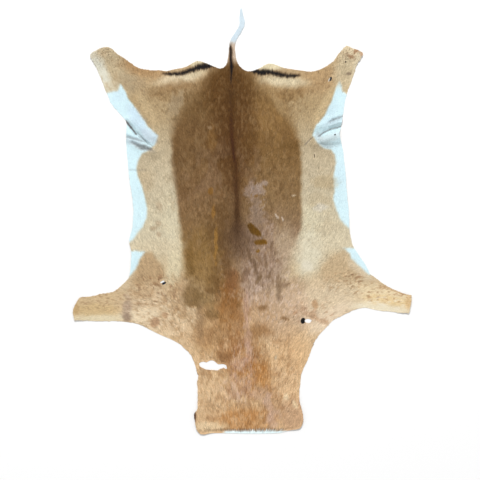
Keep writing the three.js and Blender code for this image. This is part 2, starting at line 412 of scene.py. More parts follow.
# %% Tan, saddle and spine
# Colours are sRGB, 0 to 255. Places and widths are in mm.
BASE_TAN = (  # y and the colour of the open tan there
    (530, (203, 184, 150)), (450, (196, 168, 129)), (365, (185, 160, 121)), (300, (190, 168, 132)),
    (220, (198, 181, 150)), (140, (201, 186, 157)), (0, (213, 201, 172)), (-70, (215, 202, 173)),
    (-140, (206, 185, 150)), (-220, (209, 184, 148)), (-320, (215, 186, 149)), (-420, (220, 187, 145)),
    (-640, (216, 180, 138)),
)
SADDLE = (  # y, left edge, right edge, softness of the edge, strength, left colour, right colour
    (500, -60, 0, 20, 0.2, (150, 118, 80), (150, 118, 80)),
    (470, -80, 14, 26, 0.6, (118, 88, 52), (122, 92, 56)),
    (440, -98, 26, 34, 0.95, (108, 78, 44), (120, 91, 54)),
    (400, -140, 62, 60, 1.0, (112, 82, 48), (127, 98, 60)),
    (365, -172, 104, 62, 1.0, (116, 88, 54), (133, 103, 64)),
    (325, -198, 136, 44, 1.0, (120, 92, 58), (137, 105, 65)),
    (286, -207, 156, 24, 1.0, (121, 92, 59), (137, 105, 64)),
    (245, -211, 171, 11, 1.0, (121, 92, 59), (134, 102, 62)),
    (196, -208, 176, 8, 1.0, (123, 94, 61), (133, 102, 63)),
    (136, -199, 177, 8, 1.0, (128, 98, 65), (137, 107, 70)),
    (70, -193, 175, 8, 1.0, (131, 101, 69), (141, 112, 76)),
    (15, -190, 181, 9, 1.0, (133, 103, 69), (146, 118, 86)),
    (-25, -187, 178, 12, 1.0, (136, 106, 70), (150, 122, 94)),
    (-70, -185, 158, 14, 1.0, (138, 108, 68), (157, 130, 104)),
    (-110, -180, 134, 20, 0.98, (141, 110, 69), (162, 135, 111)),
    (-146, -172, 116, 32, 0.85, (146, 114, 72), (166, 139, 115)),
    (-200, -150, 108, 55, 0.55, (150, 118, 78), (172, 144, 118)),
    (-300, -140, 100, 70, 0.0, (165, 128, 85), (180, 150, 118)),
)
SPINE = (  # y, middle x, half width, strength, colour
    (420, -33, 8, 0.4, (70, 46, 24)), (350, -33, 8, 0.8, (80, 54, 28)),
    (290, -33, 8, 0.95, (78, 50, 26)),
    (244, -30, 8, 1.0, (77, 48, 25)), (196, -25, 8, 1.0, (74, 46, 24)), (148, -19, 9, 1.0, (84, 56, 32)),
    (100, -18, 9, 1.0, (84, 57, 36)), (64, -17, 10, 1.0, (86, 60, 38)), (20, -16, 12, 1.0, (78, 54, 34)),
    (-30, -14, 18, 0.85, (84, 62, 45)),
    (-80, -16, 22, 0.5, (98, 74, 54)), (-130, -16, 24, 0.3, (104, 78, 56)),
    (-190, -20, 26, 0.0, (130, 95, 65)),
)
print("rows of tan, saddle and spine:", len(BASE_TAN), len(SADDLE), len(SPINE))

# %% [markdown]
# ## White edges and elbows
# The belly is cut open down its middle, so half of its white hair ends up along each side of
# the skin. Behind each elbow lies one patch of even tan. All of these are loops of points.

# %% White edges and elbows
WHITE_EDGES = {  # loops of x, y round the white belly hair that is left on each side
    "left": ((-420, 384), (-402, 385), (-373, 392), (-365, 411), (-352, 394), (-342, 369), (-327, 349),
             (-310, 325), (-298, 307), (-283, 284), (-266, 269), (-252, 257), (-262, 228), (-279, 214),
             (-301, 202), (-313, 179), (-317, 157), (-313, 133), (-301, 107), (-292, 72), (-284, 38),
             (-288, 7), (-297, -16), (-316, -39), (-330, -58), (-345, -70), (-420, -60)),
    "left elbow": ((-400, -88), (-331, -89), (-291, -91), (-300, -105), (-309, -116), (-312, -130),
                   (-323, -148), (-335, -163), (-345, -175), (-400, -175)),
    "right": ((293, 421), (282, 406), (277, 386), (269, 362), (261, 346), (249, 320), (238, 305),
              (224, 291), (217, 277), (210, 258), (220, 242), (231, 230), (243, 219), (267, 214),
              (278, 199), (281, 175), (274, 133), (277, 91), (273, 65), (282, 34), (295, 3), (319, -20),
              (360, -24), (400, 200), (380, 380), (316, 378), (301, 389), (298, 406)),
    "right elbow": ((303, -81), (336, -80), (400, -80), (420, -160), (380, -160), (376, -157),
                    (348, -131), (328, -112), (323, -96)),
}
SHAPES = (  # name, softness of the edge, strength, colour, and a loop of x, y round an area of one tone
    ("left elbow", 9, 0.85, (189, 159, 121),
     ((-290, -92), (-270, -92), (-256, -112), (-244, -130), (-232, -152), (-222, -172), (-236, -190),
      (-270, -204), (-310, -200), (-345, -185), (-322, -150), (-308, -116))),
    ("right elbow", 13, 0.8, (203, 177, 140),
     ((304, -88), (326, -104), (342, -122), (364, -148), (372, -160), (340, -176), (300, -186), (262, -184),
      (238, -168), (236, -142), (254, -118), (276, -98))),
)
print("white edges:", list(WHITE_EDGES), "elbows:", [shape[0] for shape in SHAPES])

# %% [markdown]
# ## Black stripes
# Two stripes edge the rump and one runs from the root of the tail to its brush. Each is a line
# of points with the stripe's half width there, because a stripe swells and thins as it goes.

# %% Black stripes
STRIPES = {  # x, y and half width along each black stripe
    "left rump": ((-236, 443, 1.5), (-209, 442, 3.6), (-190, 442, 4.6), (-174, 445, 4.8), (-159, 450, 5),
                  (-144, 456, 5.6), (-132, 461, 6.6), (-117, 464, 7.8), (-104, 466, 7), (-93, 465, 3),
                  (-86, 463, 0.8)),
    "right rump": ((28, 450, 0.8), (41, 448, 5.6), (58, 446, 7.6), (74, 447, 6.6), (90, 446, 5.6),
                   (101, 443, 5.6), (117, 439, 5), (136, 436, 4.8), (155, 436, 4), (172, 437, 1)),
    "tail": ((-36, 527, 1.2), (-35, 520, 2.2), (-34, 505, 2.8), (-34, 490, 3), (-33, 475, 3.4),
             (-32, 463, 4.2), (-32, 452, 3), (-33, 443, 1.6), (-34, 415, 0.9)),
}
print("stripes:", {name: len(rows) for name, rows in STRIPES.items()})

# %% [markdown]
# ## Tones
# These are the large soft areas that make this skin differ from the next one: paler legs and
# armpits, a worn rusty middle, and mauve and lilac places of worn hair with painted sheen on it.
# Each is an oval with a soft, rough edge. Later rows lie over earlier ones.

# %% Tones
TONES = (  # name, x, y, half width, half height, turn, softness, roughness, strength, colour
    ("left hind leg", -396, 462, 56, 96, 27, 0.9, 0.3, 0.85, (206, 188, 154)),
    ("right hind leg", 334, 470, 44, 96, -14, 0.9, 0.3, 0.85, (216, 198, 164)),
    ("left foreleg", -440, -262, 124, 52, 0, 0.9, 0.3, 0.85, (213, 187, 146)),
    ("right foreleg", 440, -240, 130, 46, -9, 0.9, 0.3, 1.0, (240, 220, 181)),
    ("left shoulder", -255, -262, 116, 70, 12, 0.9, 0.4, 0.8, (222, 197, 162)),
    ("right shoulder", 236, -250, 116, 66, -8, 0.9, 0.4, 0.8, (222, 201, 170)),
    ("neck, left side", -118, -450, 46, 150, 0, 0.95, 0.4, 0.6, (218, 187, 147)),
    ("neck, right side", 136, -430, 46, 120, 0, 0.95, 0.4, 0.65, (226, 190, 148)),
    ("left thigh, high edge", -340, 492, 46, 18, -38, 0.9, 0.4, 0.6, (182, 148, 106)),
    ("left hind leg, end", -412, 508, 42, 18, 8, 0.8, 0.5, 0.6, (214, 194, 160)),
    ("left hind leg, pale side", -428, 444, 26, 76, 22, 1.0, 0.4, 0.9, (230, 228, 212)),
    ("left thigh, brown", -300, 460, 66, 26, -12, 0.9, 0.3, 0.75, (176, 140, 98)),
    ("left thigh, grey", -330, 410, 46, 26, -20, 0.9, 0.5, 0.5, (172, 152, 122)),
    ("left thigh, low", -270, 350, 50, 60, 20, 0.9, 0.4, 0.4, (176, 151, 114)),
    ("left hip marks", -228, 386, 44, 22, -10, 0.9, 0.9, 0.5, (146, 116, 78)),
    ("rump, dark middle", -36, 386, 72, 84, 0, 0.95, 0.3, 0.8, (93, 64, 32)),
    ("back, gold right", 76, 316, 56, 74, 8, 0.95, 0.4, 0.45, (152, 118, 72)),
    ("back, dark left of the spine", -76, 222, 36, 50, 0, 0.9, 0.5, 0.65, (98, 69, 38)),
    ("back, dark left edge", -194, 150, 16, 70, 2, 0.9, 0.5, 0.45, (108, 80, 50)),
    ("right hip marks", 150, 384, 50, 20, 12, 0.9, 0.9, 0.65, (150, 118, 76)),
    ("right thigh, brown", 226, 424, 66, 38, 22, 0.9, 0.3, 0.42, (178, 143, 100)),
    ("right thigh, low", 190, 340, 40, 50, -20, 0.9, 0.5, 0.35, (176, 150, 110)),
    ("right hind leg", 318, 450, 26, 50, -12, 0.8, 0.4, 0.75, (206, 184, 146)),
    ("right hind leg, pale end", 335, 500, 42, 40, -28, 0.7, 0.3, 1.0, (234, 215, 180)),
    ("left flank, pale", -208, -30, 24, 140, 5, 0.9, 0.3, 0.55, (221, 210, 180)),
    ("left flank, pale foot", -206, -140, 22, 60, -10, 0.9, 0.3, 0.8, (224, 210, 176)),
    ("left flank, pale front", -255, -75, 74, 20, 0, 0.9, 0.7, 0.5, (220, 204, 172)),
    ("right flank, pale top", 206, -10, 26, 70, 2, 0.9, 0.4, 0.6, (222, 212, 182)),
    ("right flank, pale", 202, -100, 40, 64, -8, 0.9, 0.3, 0.85, (228, 220, 195)),
    ("right flank, pale front", 262, -62, 74, 20, 6, 0.9, 0.7, 0.5, (222, 208, 178)),
    ("left flank, worn", -290, 120, 26, 40, 0, 0.9, 0.6, 0.35, (190, 166, 130)),
    ("right flank, low mid", 228, 60, 40, 26, 0, 0.9, 0.6, 0.3, (190, 170, 136)),
    ("left foreleg, cream side", -430, -290, 88, 12, 1, 1.2, 0.4, 0.85, (232, 219, 187)),
    ("left foreleg, gold", -440, -266, 76, 18, 0, 0.8, 0.3, 0.7, (214, 186, 138)),
    ("right foreleg, cream side", 410, -262, 96, 12, -6, 1.2, 0.4, 0.9, (242, 230, 202)),
    ("right foreleg, gold", 448, -238, 80, 12, -9, 0.9, 0.2, 0.6, (236, 206, 152)),
    ("right shoulder, pale", 262, -240, 90, 40, 16, 0.9, 0.5, 0.6, (226, 206, 174)),
    ("right armpit, pale ring", 206, -296, 46, 30, 0, 0.8, 0.4, 0.6, (228, 203, 174)),
    ("left shoulder, olive drip", -112, -240, 44, 26, -15, 0.8, 0.9, 0.65, (134, 106, 66)),
    ("left lower back", -112, -110, 54, 96, 0, 0.9, 0.5, 0.5, (146, 113, 64)),
    ("left lower back, umber", -62, -120, 26, 60, 0, 0.9, 0.7, 0.55, (122, 90, 52)),
    ("left of the spine, umber", -74, -186, 36, 30, 0, 0.9, 0.7, 0.6, (126, 94, 54)),
    # worn hair with painted sheen, in the next two rows
    ("right lower back, mauve", 62, -120, 66, 116, 6, 0.9, 0.5, 0.6, (154, 128, 108)),
    ("right lower back, lilac", 34, -196, 34, 60, 0, 0.9, 0.9, 0.45, (174, 150, 136)),
    ("rust, middle", -34, -270, 42, 92, 4, 0.95, 0.5, 0.85, (142, 95, 50)),
    ("rust, low", -22, -380, 60, 70, -10, 0.95, 0.6, 0.6, (164, 120, 78)),
    ("rust, right", 50, -300, 50, 70, 10, 0.95, 0.6, 0.6, (184, 140, 92)),
    ("rust, left", -92, -330, 46, 80, -12, 0.95, 0.7, 0.5, (178, 136, 88)),
    ("rust, dark low right", 52, -416, 28, 38, 10, 0.9, 0.8, 0.7, (154, 108, 66)),
    ("rust, orange low", 30, -470, 56, 52, 0, 0.95, 0.5, 0.75, (182, 124, 66)),
    ("neck, brown low right", 92, -550, 28, 46, 0, 0.9, 0.6, 0.5, (172, 128, 90)),
    ("neck, orange foot", 5, -596, 84, 34, 0, 0.95, 0.5, 0.7, (182, 125, 70)),
    ("right shoulder, peach", 140, -390, 70, 64, 0, 0.9, 0.5, 0.5, (218, 180, 134)),
    ("right shoulder, pink", 150, -250, 60, 40, 0, 0.9, 0.6, 0.5, (212, 182, 154)),
    # worn hair with painted sheen
    ("mauve flare", -18, -500, 40, 30, 20, 0.9, 1.5, 0.5, (206, 174, 156)),
    ("neck, lower right", 150, -578, 40, 46, 0, 0.9, 0.5, 0.6, (196, 158, 126)),
    # worn hair with painted sheen
    ("worn grey, rims", 50, -48, 40, 42, -30, 0.7, 1.5, 0.45, (170, 146, 128)),
    ("left hind leg, pale foot", -392, 398, 30, 20, 0, 0.7, 0.4, 0.8, (216, 204, 176)),
    ("back, brown by the spine", -24, 250, 66, 170, 2, 1.2, 0.4, 0.75, (92, 62, 34)),
    ("right shoulder, beige", 92, -285, 92, 74, 0, 0.95, 0.5, 0.6, (196, 165, 134)),
    ("left shoulder, by the saddle", -186, -222, 44, 56, 0, 1.0, 0.6, 0.5, (176, 143, 104)),
    ("left shoulder, tan fold", -294, -216, 32, 18, 0, 1.0, 0.6, 0.45, (186, 154, 116)),
    ("left armpit, cream", -298, -282, 46, 24, 0, 1.0, 0.6, 0.7, (240, 222, 190)),
    ("left armpit, pale rim", -238, -328, 66, 12, -28, 1.0, 0.4, 0.5, (234, 210, 174)),
    ("right lower back, pale edge", 132, -70, 36, 56, 12, 1.1, 0.5, 0.55, (208, 187, 158)),
    ("rust, brown core", -8, -408, 42, 56, 0, 1.0, 0.6, 0.65, (162, 112, 68)),
    ("back, umber by the gold", -68, -14, 40, 66, 0, 1.0, 0.5, 0.55, (100, 72, 42)),
    ("right armpit, pale rim", 262, -290, 70, 22, 38, 1.0, 0.4, 0.8, (238, 217, 188)),
    ("right elbow, pale rim", 354, -148, 52, 14, -40, 1.0, 0.4, 0.6, (228, 212, 184)),
    ("left elbow, pale rim", -344, -182, 32, 13, 45, 1.0, 0.4, 0.5, (222, 202, 170)),
    ("right shoulder, tan by the bar", 152, -196, 40, 22, 0, 1.0, 0.6, 0.5, (178, 148, 118)),
)
print("tones:", len(TONES))

# %% [markdown]
# ## Mottled areas
# Inside an oval area, only the lumps of a noise that rise over a limit take the colour. Lumps
# that are longer along the hair than across it read as streaks, and round ones as spots.

# %% Mottled areas
MOTTLED = (  # name, x, y, half width, half height, lumps across and along, lower limit, strength, colour
    ("left shoulder", -255, -245, 120, 86, 9, 5, 0.12, 0.45, (170, 136, 100)),
    ("left shoulder, pale", -240, -280, 120, 60, 11, 8, 0.2, 0.5, (234, 214, 182)),
    ("left shoulder, dark", -264, -206, 76, 50, 5, 8, 0.3, 0.6, (138, 104, 76)),
    ("left neck root", -150, -310, 90, 66, 10, 12, 0.1, 0.4, (164, 128, 88)),
    ("right shoulder", 330, -184, 100, 36, 9, 6, 0.22, 0.5, (172, 136, 100)),
    ("right shoulder, cluster", 332, -174, 32, 26, 5, 5, 0.0, 0.65, (154, 118, 86)),
    ("right armpit", 210, -270, 74, 50, 12, 7, 0.18, 0.6, (188, 152, 120)),
    ("right shoulder, pink", 110, -230, 90, 80, 7, 7, 0.12, 0.5, (224, 200, 180)),
    ("left leg", -395, 460, 60, 80, 7, 12, 0.2, 0.3, (176, 148, 112)),
    ("right leg", 330, 470, 50, 70, 7, 12, 0.2, 0.3, (176, 144, 108)),
    ("left foreleg", -410, -236, 116, 36, 7, 3.5, 0.18, 0.55, (164, 130, 98)),
    ("right foreleg", 466, -216, 124, 36, 7, 4, 0.16, 0.6, (180, 138, 102)),
    ("right foreleg, pale", 420, -250, 90, 24, 10, 4, 0.15, 0.5, (248, 238, 216)),
    # worn hair with painted sheen, in the next five rows
    ("mauve strands", 14, -290, 13, 110, 2.6, 14, 0.0, 0.55, (204, 172, 156)),
    ("mauve strands, low", 4, -450, 44, 100, 2.6, 10, 0.05, 0.55, (208, 176, 160)),
    ("lilac strands", 50, -160, 50, 90, 4, 8, 0.1, 0.4, (200, 176, 164)),
    ("grey specks", 42, 70, 32, 60, 4, 5, 0.05, 0.6, (186, 168, 160)),
    ("grey specks, low", 56, -20, 44, 50, 4, 5, 0.15, 0.5, (190, 168, 154)),
    ("thighs", -30, 410, 330, 50, 6, 7, 0.2, 0.38, (136, 106, 72)),
    ("rump", -30, 380, 240, 66, 9, 12, 0.1, 0.3, (96, 68, 38)),
    ("rump, pale", -30, 360, 260, 70, 7, 9, 0.2, 0.2, (180, 150, 110)),
    ("saddle, dark", -20, 150, 200, 260, 9, 18, 0.05, 0.28, (92, 65, 38)),
    ("saddle, light", -20, 80, 190, 300, 6, 12, 0.12, 0.26, (172, 142, 104)),
    ("saddle, lilac", -40, 60, 150, 200, 22, 34, 0.1, 0.2, (150, 124, 106)),
    ("lower back", -20, -150, 170, 110, 7, 12, 0.12, 0.3, (108, 80, 50)),
    ("lower back, pale", 40, -170, 120, 110, 6, 8, 0.16, 0.32, (210, 188, 168)),
    ("neck, dark", 10, -480, 170, 170, 5, 11, 0.1, 0.32, (146, 102, 62)),
    ("neck, light", 10, -480, 170, 170, 4, 9, 0.12, 0.34, (234, 204, 168)),
    ("neck, wide light", -10, -450, 170, 190, 24, 26, 0.1, 0.3, (222, 188, 148)),
    ("neck, wide dark", 0, -400, 160, 180, 20, 24, 0.14, 0.3, (152, 110, 72)),
    ("flanks", 0, 60, 340, 220, 10, 14, 0.15, 0.12, (168, 144, 110)),
    ("left hip, brindle", -190, 350, 70, 60, 8, 5, 0.16, 0.4, (124, 98, 66)),
    ("right hip, brindle", 130, 350, 70, 60, 5, 8, 0.16, 0.3, (128, 98, 62)),
)
print("mottled areas:", len(MOTTLED))

# %% [markdown]
# ## Marks
# Smaller places are laid over the mottling so that it doesn't break them up: the pale bands
# by the stripes, the two golden spots, flecks, cracks, worn hair with painted sheen, painted
# shade at the folded groins and on the white, and a painted shadow line at the neck's cut edge.

# %% Marks
MARKS = (  # smaller places laid over the mottling, with the same columns
    ("left rump, pale band", -184, 430, 70, 17, 12, 1.2, 0.2, 0.95, (226, 209, 177)),
    ("right rump, pale band", 128, 421, 66, 17, -5, 1.2, 0.2, 0.9, (224, 209, 176)),
    ("left thigh rim", -286, 340, 14, 60, 30, 0.9, 0.2, 0.7, (206, 182, 142)),
    ("left hip, second marks", -190, 408, 40, 14, 0, 0.9, 0.9, 0.5, (150, 118, 80)),
    ("left hip, grey mottle", -199, 352, 20, 36, -24, 0.9, 0.9, 0.5, (172, 154, 126)),
    ("back, pale right top", 80, 384, 26, 16, 20, 0.95, 0.5, 0.2, (160, 128, 84)),
    ("back, olive right edge", 146, 226, 34, 14, 10, 0.8, 0.5, 0.5, (108, 80, 44)),
    ("back, dark right of the spine", 24, 244, 22, 26, 0, 0.9, 0.5, 0.55, (104, 74, 40)),
    ("back, gold by the spine", 6, 130, 14, 60, 0, 0.95, 0.5, 0.12, (146, 108, 62)),
    ("back, gold left", -90, 250, 12, 44, 0, 0.9, 0.9, 0.35, (150, 112, 64)),
    ("right thigh rim", 246, 350, 12, 62, -28, 0.9, 0.2, 0.7, (212, 188, 146)),
    ("right hip, pale streak", 108, 352, 12, 44, 28, 0.9, 0.6, 0.4, (184, 158, 118)),
    ("right hind leg, edge", 342, 452, 12, 60, -14, 0.7, 0.2, 0.8, (226, 212, 182)),
    ("right hind leg, inner side", 304, 446, 30, 40, -10, 0.9, 0.3, 0.7, (208, 191, 158)),
    ("right leg, rust mark", 342, 508, 10, 5, 35, 0.8, 0.8, 0.7, (170, 122, 88)),
    ("right leg, brown mark", 325, 494, 13, 5, -20, 0.8, 0.8, 0.7, (152, 114, 84)),
    ("right leg, red end", 356, 500, 8, 6, -40, 0.8, 0.8, 0.5, (178, 128, 98)),
    ("right leg, grey mark", 318, 440, 9, 5, 20, 0.6, 0.8, 0.7, (128, 110, 92)),
    ("left rump, pale tip", -130, 448, 32, 10, 20, 1.0, 0.3, 0.6, (214, 196, 160)),
    ("left rump, cream rim", -132, 476, 46, 12, -6, 0.5, 0.1, 0.9, (222, 208, 172)),
    ("right rump, cream rim", 86, 467, 48, 15, 8, 0.5, 0.1, 0.9, (230, 218, 184)),
    ("right flank, white foot", 193, -132, 18, 18, 0, 0.9, 0.6, 0.6, (234, 226, 206)),
    ("left flank, mark one", -249, 46, 7, 11, 30, 0.9, 0.6, 0.3, (172, 142, 112)),
    ("left flank, mark two", -252, -8, 9, 9, 0, 0.9, 0.7, 0.35, (172, 142, 112)),
    ("left flank, mark three", -266, -22, 11, 6, 20, 0.9, 0.7, 0.4, (168, 138, 108)),
    ("left flank, mark four", -250, -38, 7, 8, 0, 0.9, 0.7, 0.4, (170, 140, 112)),
    ("right flank, worn patch", 236, 40, 20, 12, 14, 0.9, 0.9, 0.6, (222, 216, 202)),
    ("right flank, brown", 262, -14, 34, 20, 0, 0.9, 0.8, 0.16, (190, 164, 130)),
    ("right flank, mid", 250, 118, 36, 20, 0, 0.9, 0.6, 0.45, (182, 160, 122)),
    ("left foreleg, tip", -500, -256, 10, 20, 0, 0.9, 0.8, 0.4, (184, 148, 98)),
    ("left foreleg, grey mark", -345, -262, 12, 36, -4, 0.95, 0.9, 0.6, (172, 150, 132)),
    ("left foreleg, dark foot", -344, -288, 13, 11, 0, 1.0, 0.7, 0.5, (136, 112, 94)),
    ("left shoulder, round spot", -261, -304, 14, 15, 0, 0.5, 0.2, 0.8, (182, 145, 112)),
    ("left shoulder, second spot", -232, -282, 8, 10, 0, 0.7, 0.8, 0.6, (182, 142, 106)),
    ("left shoulder, over the hole", -247, -166, 7, 8, 0, 0.8, 0.6, 0.6, (150, 114, 84)),
    ("left shoulder, under the hole", -254, -192, 16, 6, -30, 0.8, 0.9, 0.7, (150, 116, 84)),
    ("right foreleg, brown side", 462, -206, 66, 6, -18, 0.9, 0.8, 0.45, (186, 146, 104)),
    ("right foreleg, tip", 499, -240, 8, 26, 0, 0.9, 0.8, 0.4, (214, 170, 116)),
    ("right armpit, fleck", 218, -246, 11, 12, 0, 0.6, 0.8, 0.8, (190, 152, 114)),
    ("right armpit, brown one", 212, -286, 20, 10, -28, 0.6, 0.9, 0.6, (188, 150, 116)),
    ("right armpit, brown two", 236, -300, 22, 9, -24, 0.6, 0.9, 0.55, (190, 152, 118)),
    ("right armpit, speck one", 160, -276, 9, 5, 0, 0.7, 0.8, 0.7, (176, 138, 106)),
    ("right armpit, speck two", 182, -262, 7, 6, 0, 0.7, 0.8, 0.6, (176, 140, 110)),
    ("left shoulder, olive right", -92, -281, 22, 14, 0, 0.8, 0.6, 0.65, (128, 98, 60)),
    ("left shoulder, low brown", -76, -340, 34, 26, 0, 0.8, 0.9, 0.35, (156, 118, 78)),
    ("left lower back, dark edge", -158, -120, 10, 56, -4, 0.8, 0.8, 0.5, (122, 92, 50)),
    ("right lower back, crack one", 22, -104, 5, 30, 14, 0.7, 0.9, 0.7, (112, 88, 66)),
    ("right lower back, crack two", 40, -140, 5, 30, 10, 0.7, 0.9, 0.7, (112, 88, 66)),
    ("right lower back, crack three", 88, -80, 4, 24, -6, 0.7, 0.8, 0.6, (118, 92, 68)),
    ("right lower back, crack four", 8, -160, 10, 20, -20, 0.7, 0.9, 0.6, (120, 92, 70)),
    ("right lower back, grey bar", 110, -206, 6.5, 34, -3, 0.8, 0.6, 0.7, (142, 118, 92)),
    ("right lower back, grey cap", 122, -190, 19, 6, 4, 0.8, 0.7, 0.7, (138, 112, 86)),
    ("rust, top", -30, -180, 22, 34, 0, 0.9, 0.4, 0.75, (138, 94, 58)),
    ("rust, dark notch", -50, -408, 26, 13, -20, 1.0, 0.9, 0.5, (136, 97, 62)),
    ("right of the rust, brown", 60, -260, 17, 6.5, 0, 0.8, 0.5, 0.8, (142, 108, 72)),
    ("right of the rust, low brown", 128, -293, 14, 6, -8, 0.6, 0.4, 0.85, (150, 116, 80)),
    ("right of the rust, wide brown", 44, -330, 40, 16, 4, 0.9, 0.8, 0.5, (150, 110, 68)),
    # worn hair with painted sheen, in the next seven rows
    ("mauve line", 13, -290, 6, 84, 2, 0.9, 1.5, 0.4, (196, 160, 142)),
    ("mauve line, top", 18, -220, 18, 34, 0, 0.8, 1.5, 0.15, (180, 152, 136)),
    ("mauve line, low", 22, -386, 8, 58, 0, 1.1, 1.9, 0.45, (204, 170, 152)),
    ("mauve line, end", -8, -430, 26, 12, 10, 0.8, 1.5, 0.45, (198, 164, 146)),
    ("mauve arc", 50, -520, 30, 20, -30, 0.8, 1.5, 0.45, (206, 174, 152)),
    ("mauve arc, right", 80, -548, 10, 40, 8, 0.8, 1.5, 0.5, (208, 176, 156)),
    ("mauve tail", 92, -598, 16, 32, -14, 0.8, 1.5, 0.5, (206, 174, 154)),
    ("neck, cream fleck", 130, -526, 9, 13, 10, 0.6, 0.7, 0.9, (238, 214, 176)),
    ("neck, cream drop", 159, -550, 7, 14, 25, 0.6, 0.5, 0.9, (236, 210, 170)),
    ("neck, cream foot", -94, -616, 42, 15, 0, 0.7, 0.9, 0.75, (234, 209, 170)),
    ("neck, left brown", -100, -552, 20, 12, 10, 0.9, 0.9, 0.4, (170, 134, 96)),
    ("neck, left brown low", -92, -588, 16, 10, 0, 0.9, 0.9, 0.35, (176, 136, 98)),
    # worn hair with painted sheen, in the next four rows
    ("worn grey, top", 42, 96, 27, 22, 8, 0.7, 1.5, 0.65, (170, 150, 138)),
    ("worn grey, stem", 36, 66, 17, 24, 0, 0.7, 1.5, 0.5, (150, 128, 112)),
    ("worn grey, spur", 68, 114, 10, 9, 30, 0.6, 0.8, 0.7, (178, 158, 146)),
    ("worn grey, middle", 44, 22, 24, 36, 0, 0.8, 1.5, 0.65, (152, 130, 112)),
    ("gold, in the grey", 40, 76, 7, 6, 0, 0.5, 0.5, 0.85, (132, 96, 50)),
    ("gold, large", 35, -25, 27, 12.5, -44, 0.3, 0.35, 1.0, (111, 78, 28)),
    ("gold, second", 57, -65, 19, 8.5, -4, 0.3, 0.35, 1.0, (122, 86, 32)),
    ("gold, dot", 46, -90, 6, 5, 0, 0.4, 0.3, 0.95, (136, 98, 42)),
    ("gold, speck", -95, 90, 8, 10, 0, 0.7, 0.8, 0.65, (146, 102, 44)),
    ("gold, upper streak", -86, 26, 6, 26, 0, 0.8, 1.3, 0.65, (156, 112, 54)),
    ("gold, lower streak", -79, -62, 5, 62, -1, 0.8, 1.3, 0.85, (164, 122, 62)),
    ("white fleck one", 104, 12, 10, 2.8, -52, 0.6, 0.5, 0.95, (206, 188, 170)),
    ("white fleck two", 121, 4, 9, 2.6, -48, 0.6, 0.5, 0.95, (206, 188, 170)),
    ("white fleck three", 154, 76, 7, 2.4, 0, 0.8, 0.5, 0.8, (210, 190, 162)),
    ("white fleck four", -98, 279, 8, 4, -10, 0.7, 0.7, 0.6, (168, 142, 112)),
    ("neck, grey fleck", 99, -410, 5, 4, 0, 0.6, 0.5, 0.8, (206, 190, 162)),
    # painted shade at the folded groins, in the next seven rows: lip shades, shaded swells and sides
    ("left groin, lip shade", -296, 220, 32, 9, -22, 0.95, 0.2, 0.45, (164, 160, 158)),
    ("left groin, swell", -280, 256, 26, 18, -38, 0.95, 0.3, 0.5, (206, 214, 226)),
    ("left groin, low swell", -326, 240, 26, 12, -10, 0.95, 0.3, 0.5, (204, 216, 224)),
    ("right groin, lip shade", 252, 226, 24, 9, 4, 0.95, 0.2, 0.15, (186, 180, 172)),
    ("right groin, inner shade", 230, 252, 10, 15, 28, 0.9, 0.3, 0.45, (170, 172, 172)),
    ("right groin, upper shade", 282, 302, 26, 8, 22, 0.9, 0.3, 0.5, (184, 200, 208)),
    ("right groin, lower side", 262, 250, 34, 12, 20, 0.95, 0.3, 0.5, (208, 216, 216)),
    ("neck, torn left edge", -144, -587, 8, 15, 4, 0.6, 0.5, 0.95, (88, 62, 46)),
    # painted shadow line along the neck's cut edge
    ("neck, cut edge", 20, -624, 130, 3, 0.6, 0.8, 0.3, 0.5, (120, 88, 60)),
    ("right shoulder, bar foot", 116, -232, 5, 12, 6, 0.7, 0.8, 0.6, (146, 120, 96)),
    ("left shoulder, olive trail", -126, -300, 12, 52, 4, 0.9, 0.8, 0.5, (146, 116, 84)),
    ("left shoulder, olive", -151, -222, 26, 34, 0, 0.8, 0.6, 0.7, (126, 99, 62)),
    ("lower back, dark arc", -76, -186, 10, 30, 6, 0.7, 1.0, 0.6, (112, 82, 48)),
    ("lower back, dark foot", -92, -212, 22, 8, -14, 0.8, 0.8, 0.55, (112, 82, 48)),
    ("lower back, umber streak", -46, -132, 14, 40, 4, 0.9, 0.9, 0.55, (104, 74, 46)),
    ("lower back, left umber", -150, -146, 8, 22, 0, 0.8, 0.9, 0.5, (112, 84, 46)),
    ("right lower back, crack five", 50, -176, 6, 16, -30, 0.7, 0.9, 0.7, (120, 94, 66)),
    ("right lower back, crack six", 70, -118, 4, 26, 8, 0.7, 0.9, 0.5, (126, 100, 76)),
    ("right lower back, wide dark", 78, -166, 14, 8, 20, 0.8, 0.9, 0.55, (132, 106, 80)),
    # painted shade on the white hair, in the next three rows
    ("left belly, cool shade", -318, 310, 18, 46, 34, 0.9, 0.4, 0.35, (200, 216, 236)),
    ("left belly, cool top", -372, 376, 24, 18, 0, 0.9, 0.4, 0.15, (206, 224, 244)),
    ("right belly, cool shade", 262, 316, 16, 40, -24, 0.9, 0.4, 0.2, (208, 226, 240)),
    ("right belly, cool strip", 296, 150, 14, 40, 0, 0.9, 0.6, 0.25, (204, 228, 240)),
    ("spine, soft dark foot", -14, -62, 52, 46, 0, 1.1, 0.6, 0.4, (94, 70, 54)),
)
print("marks:", len(MARKS))
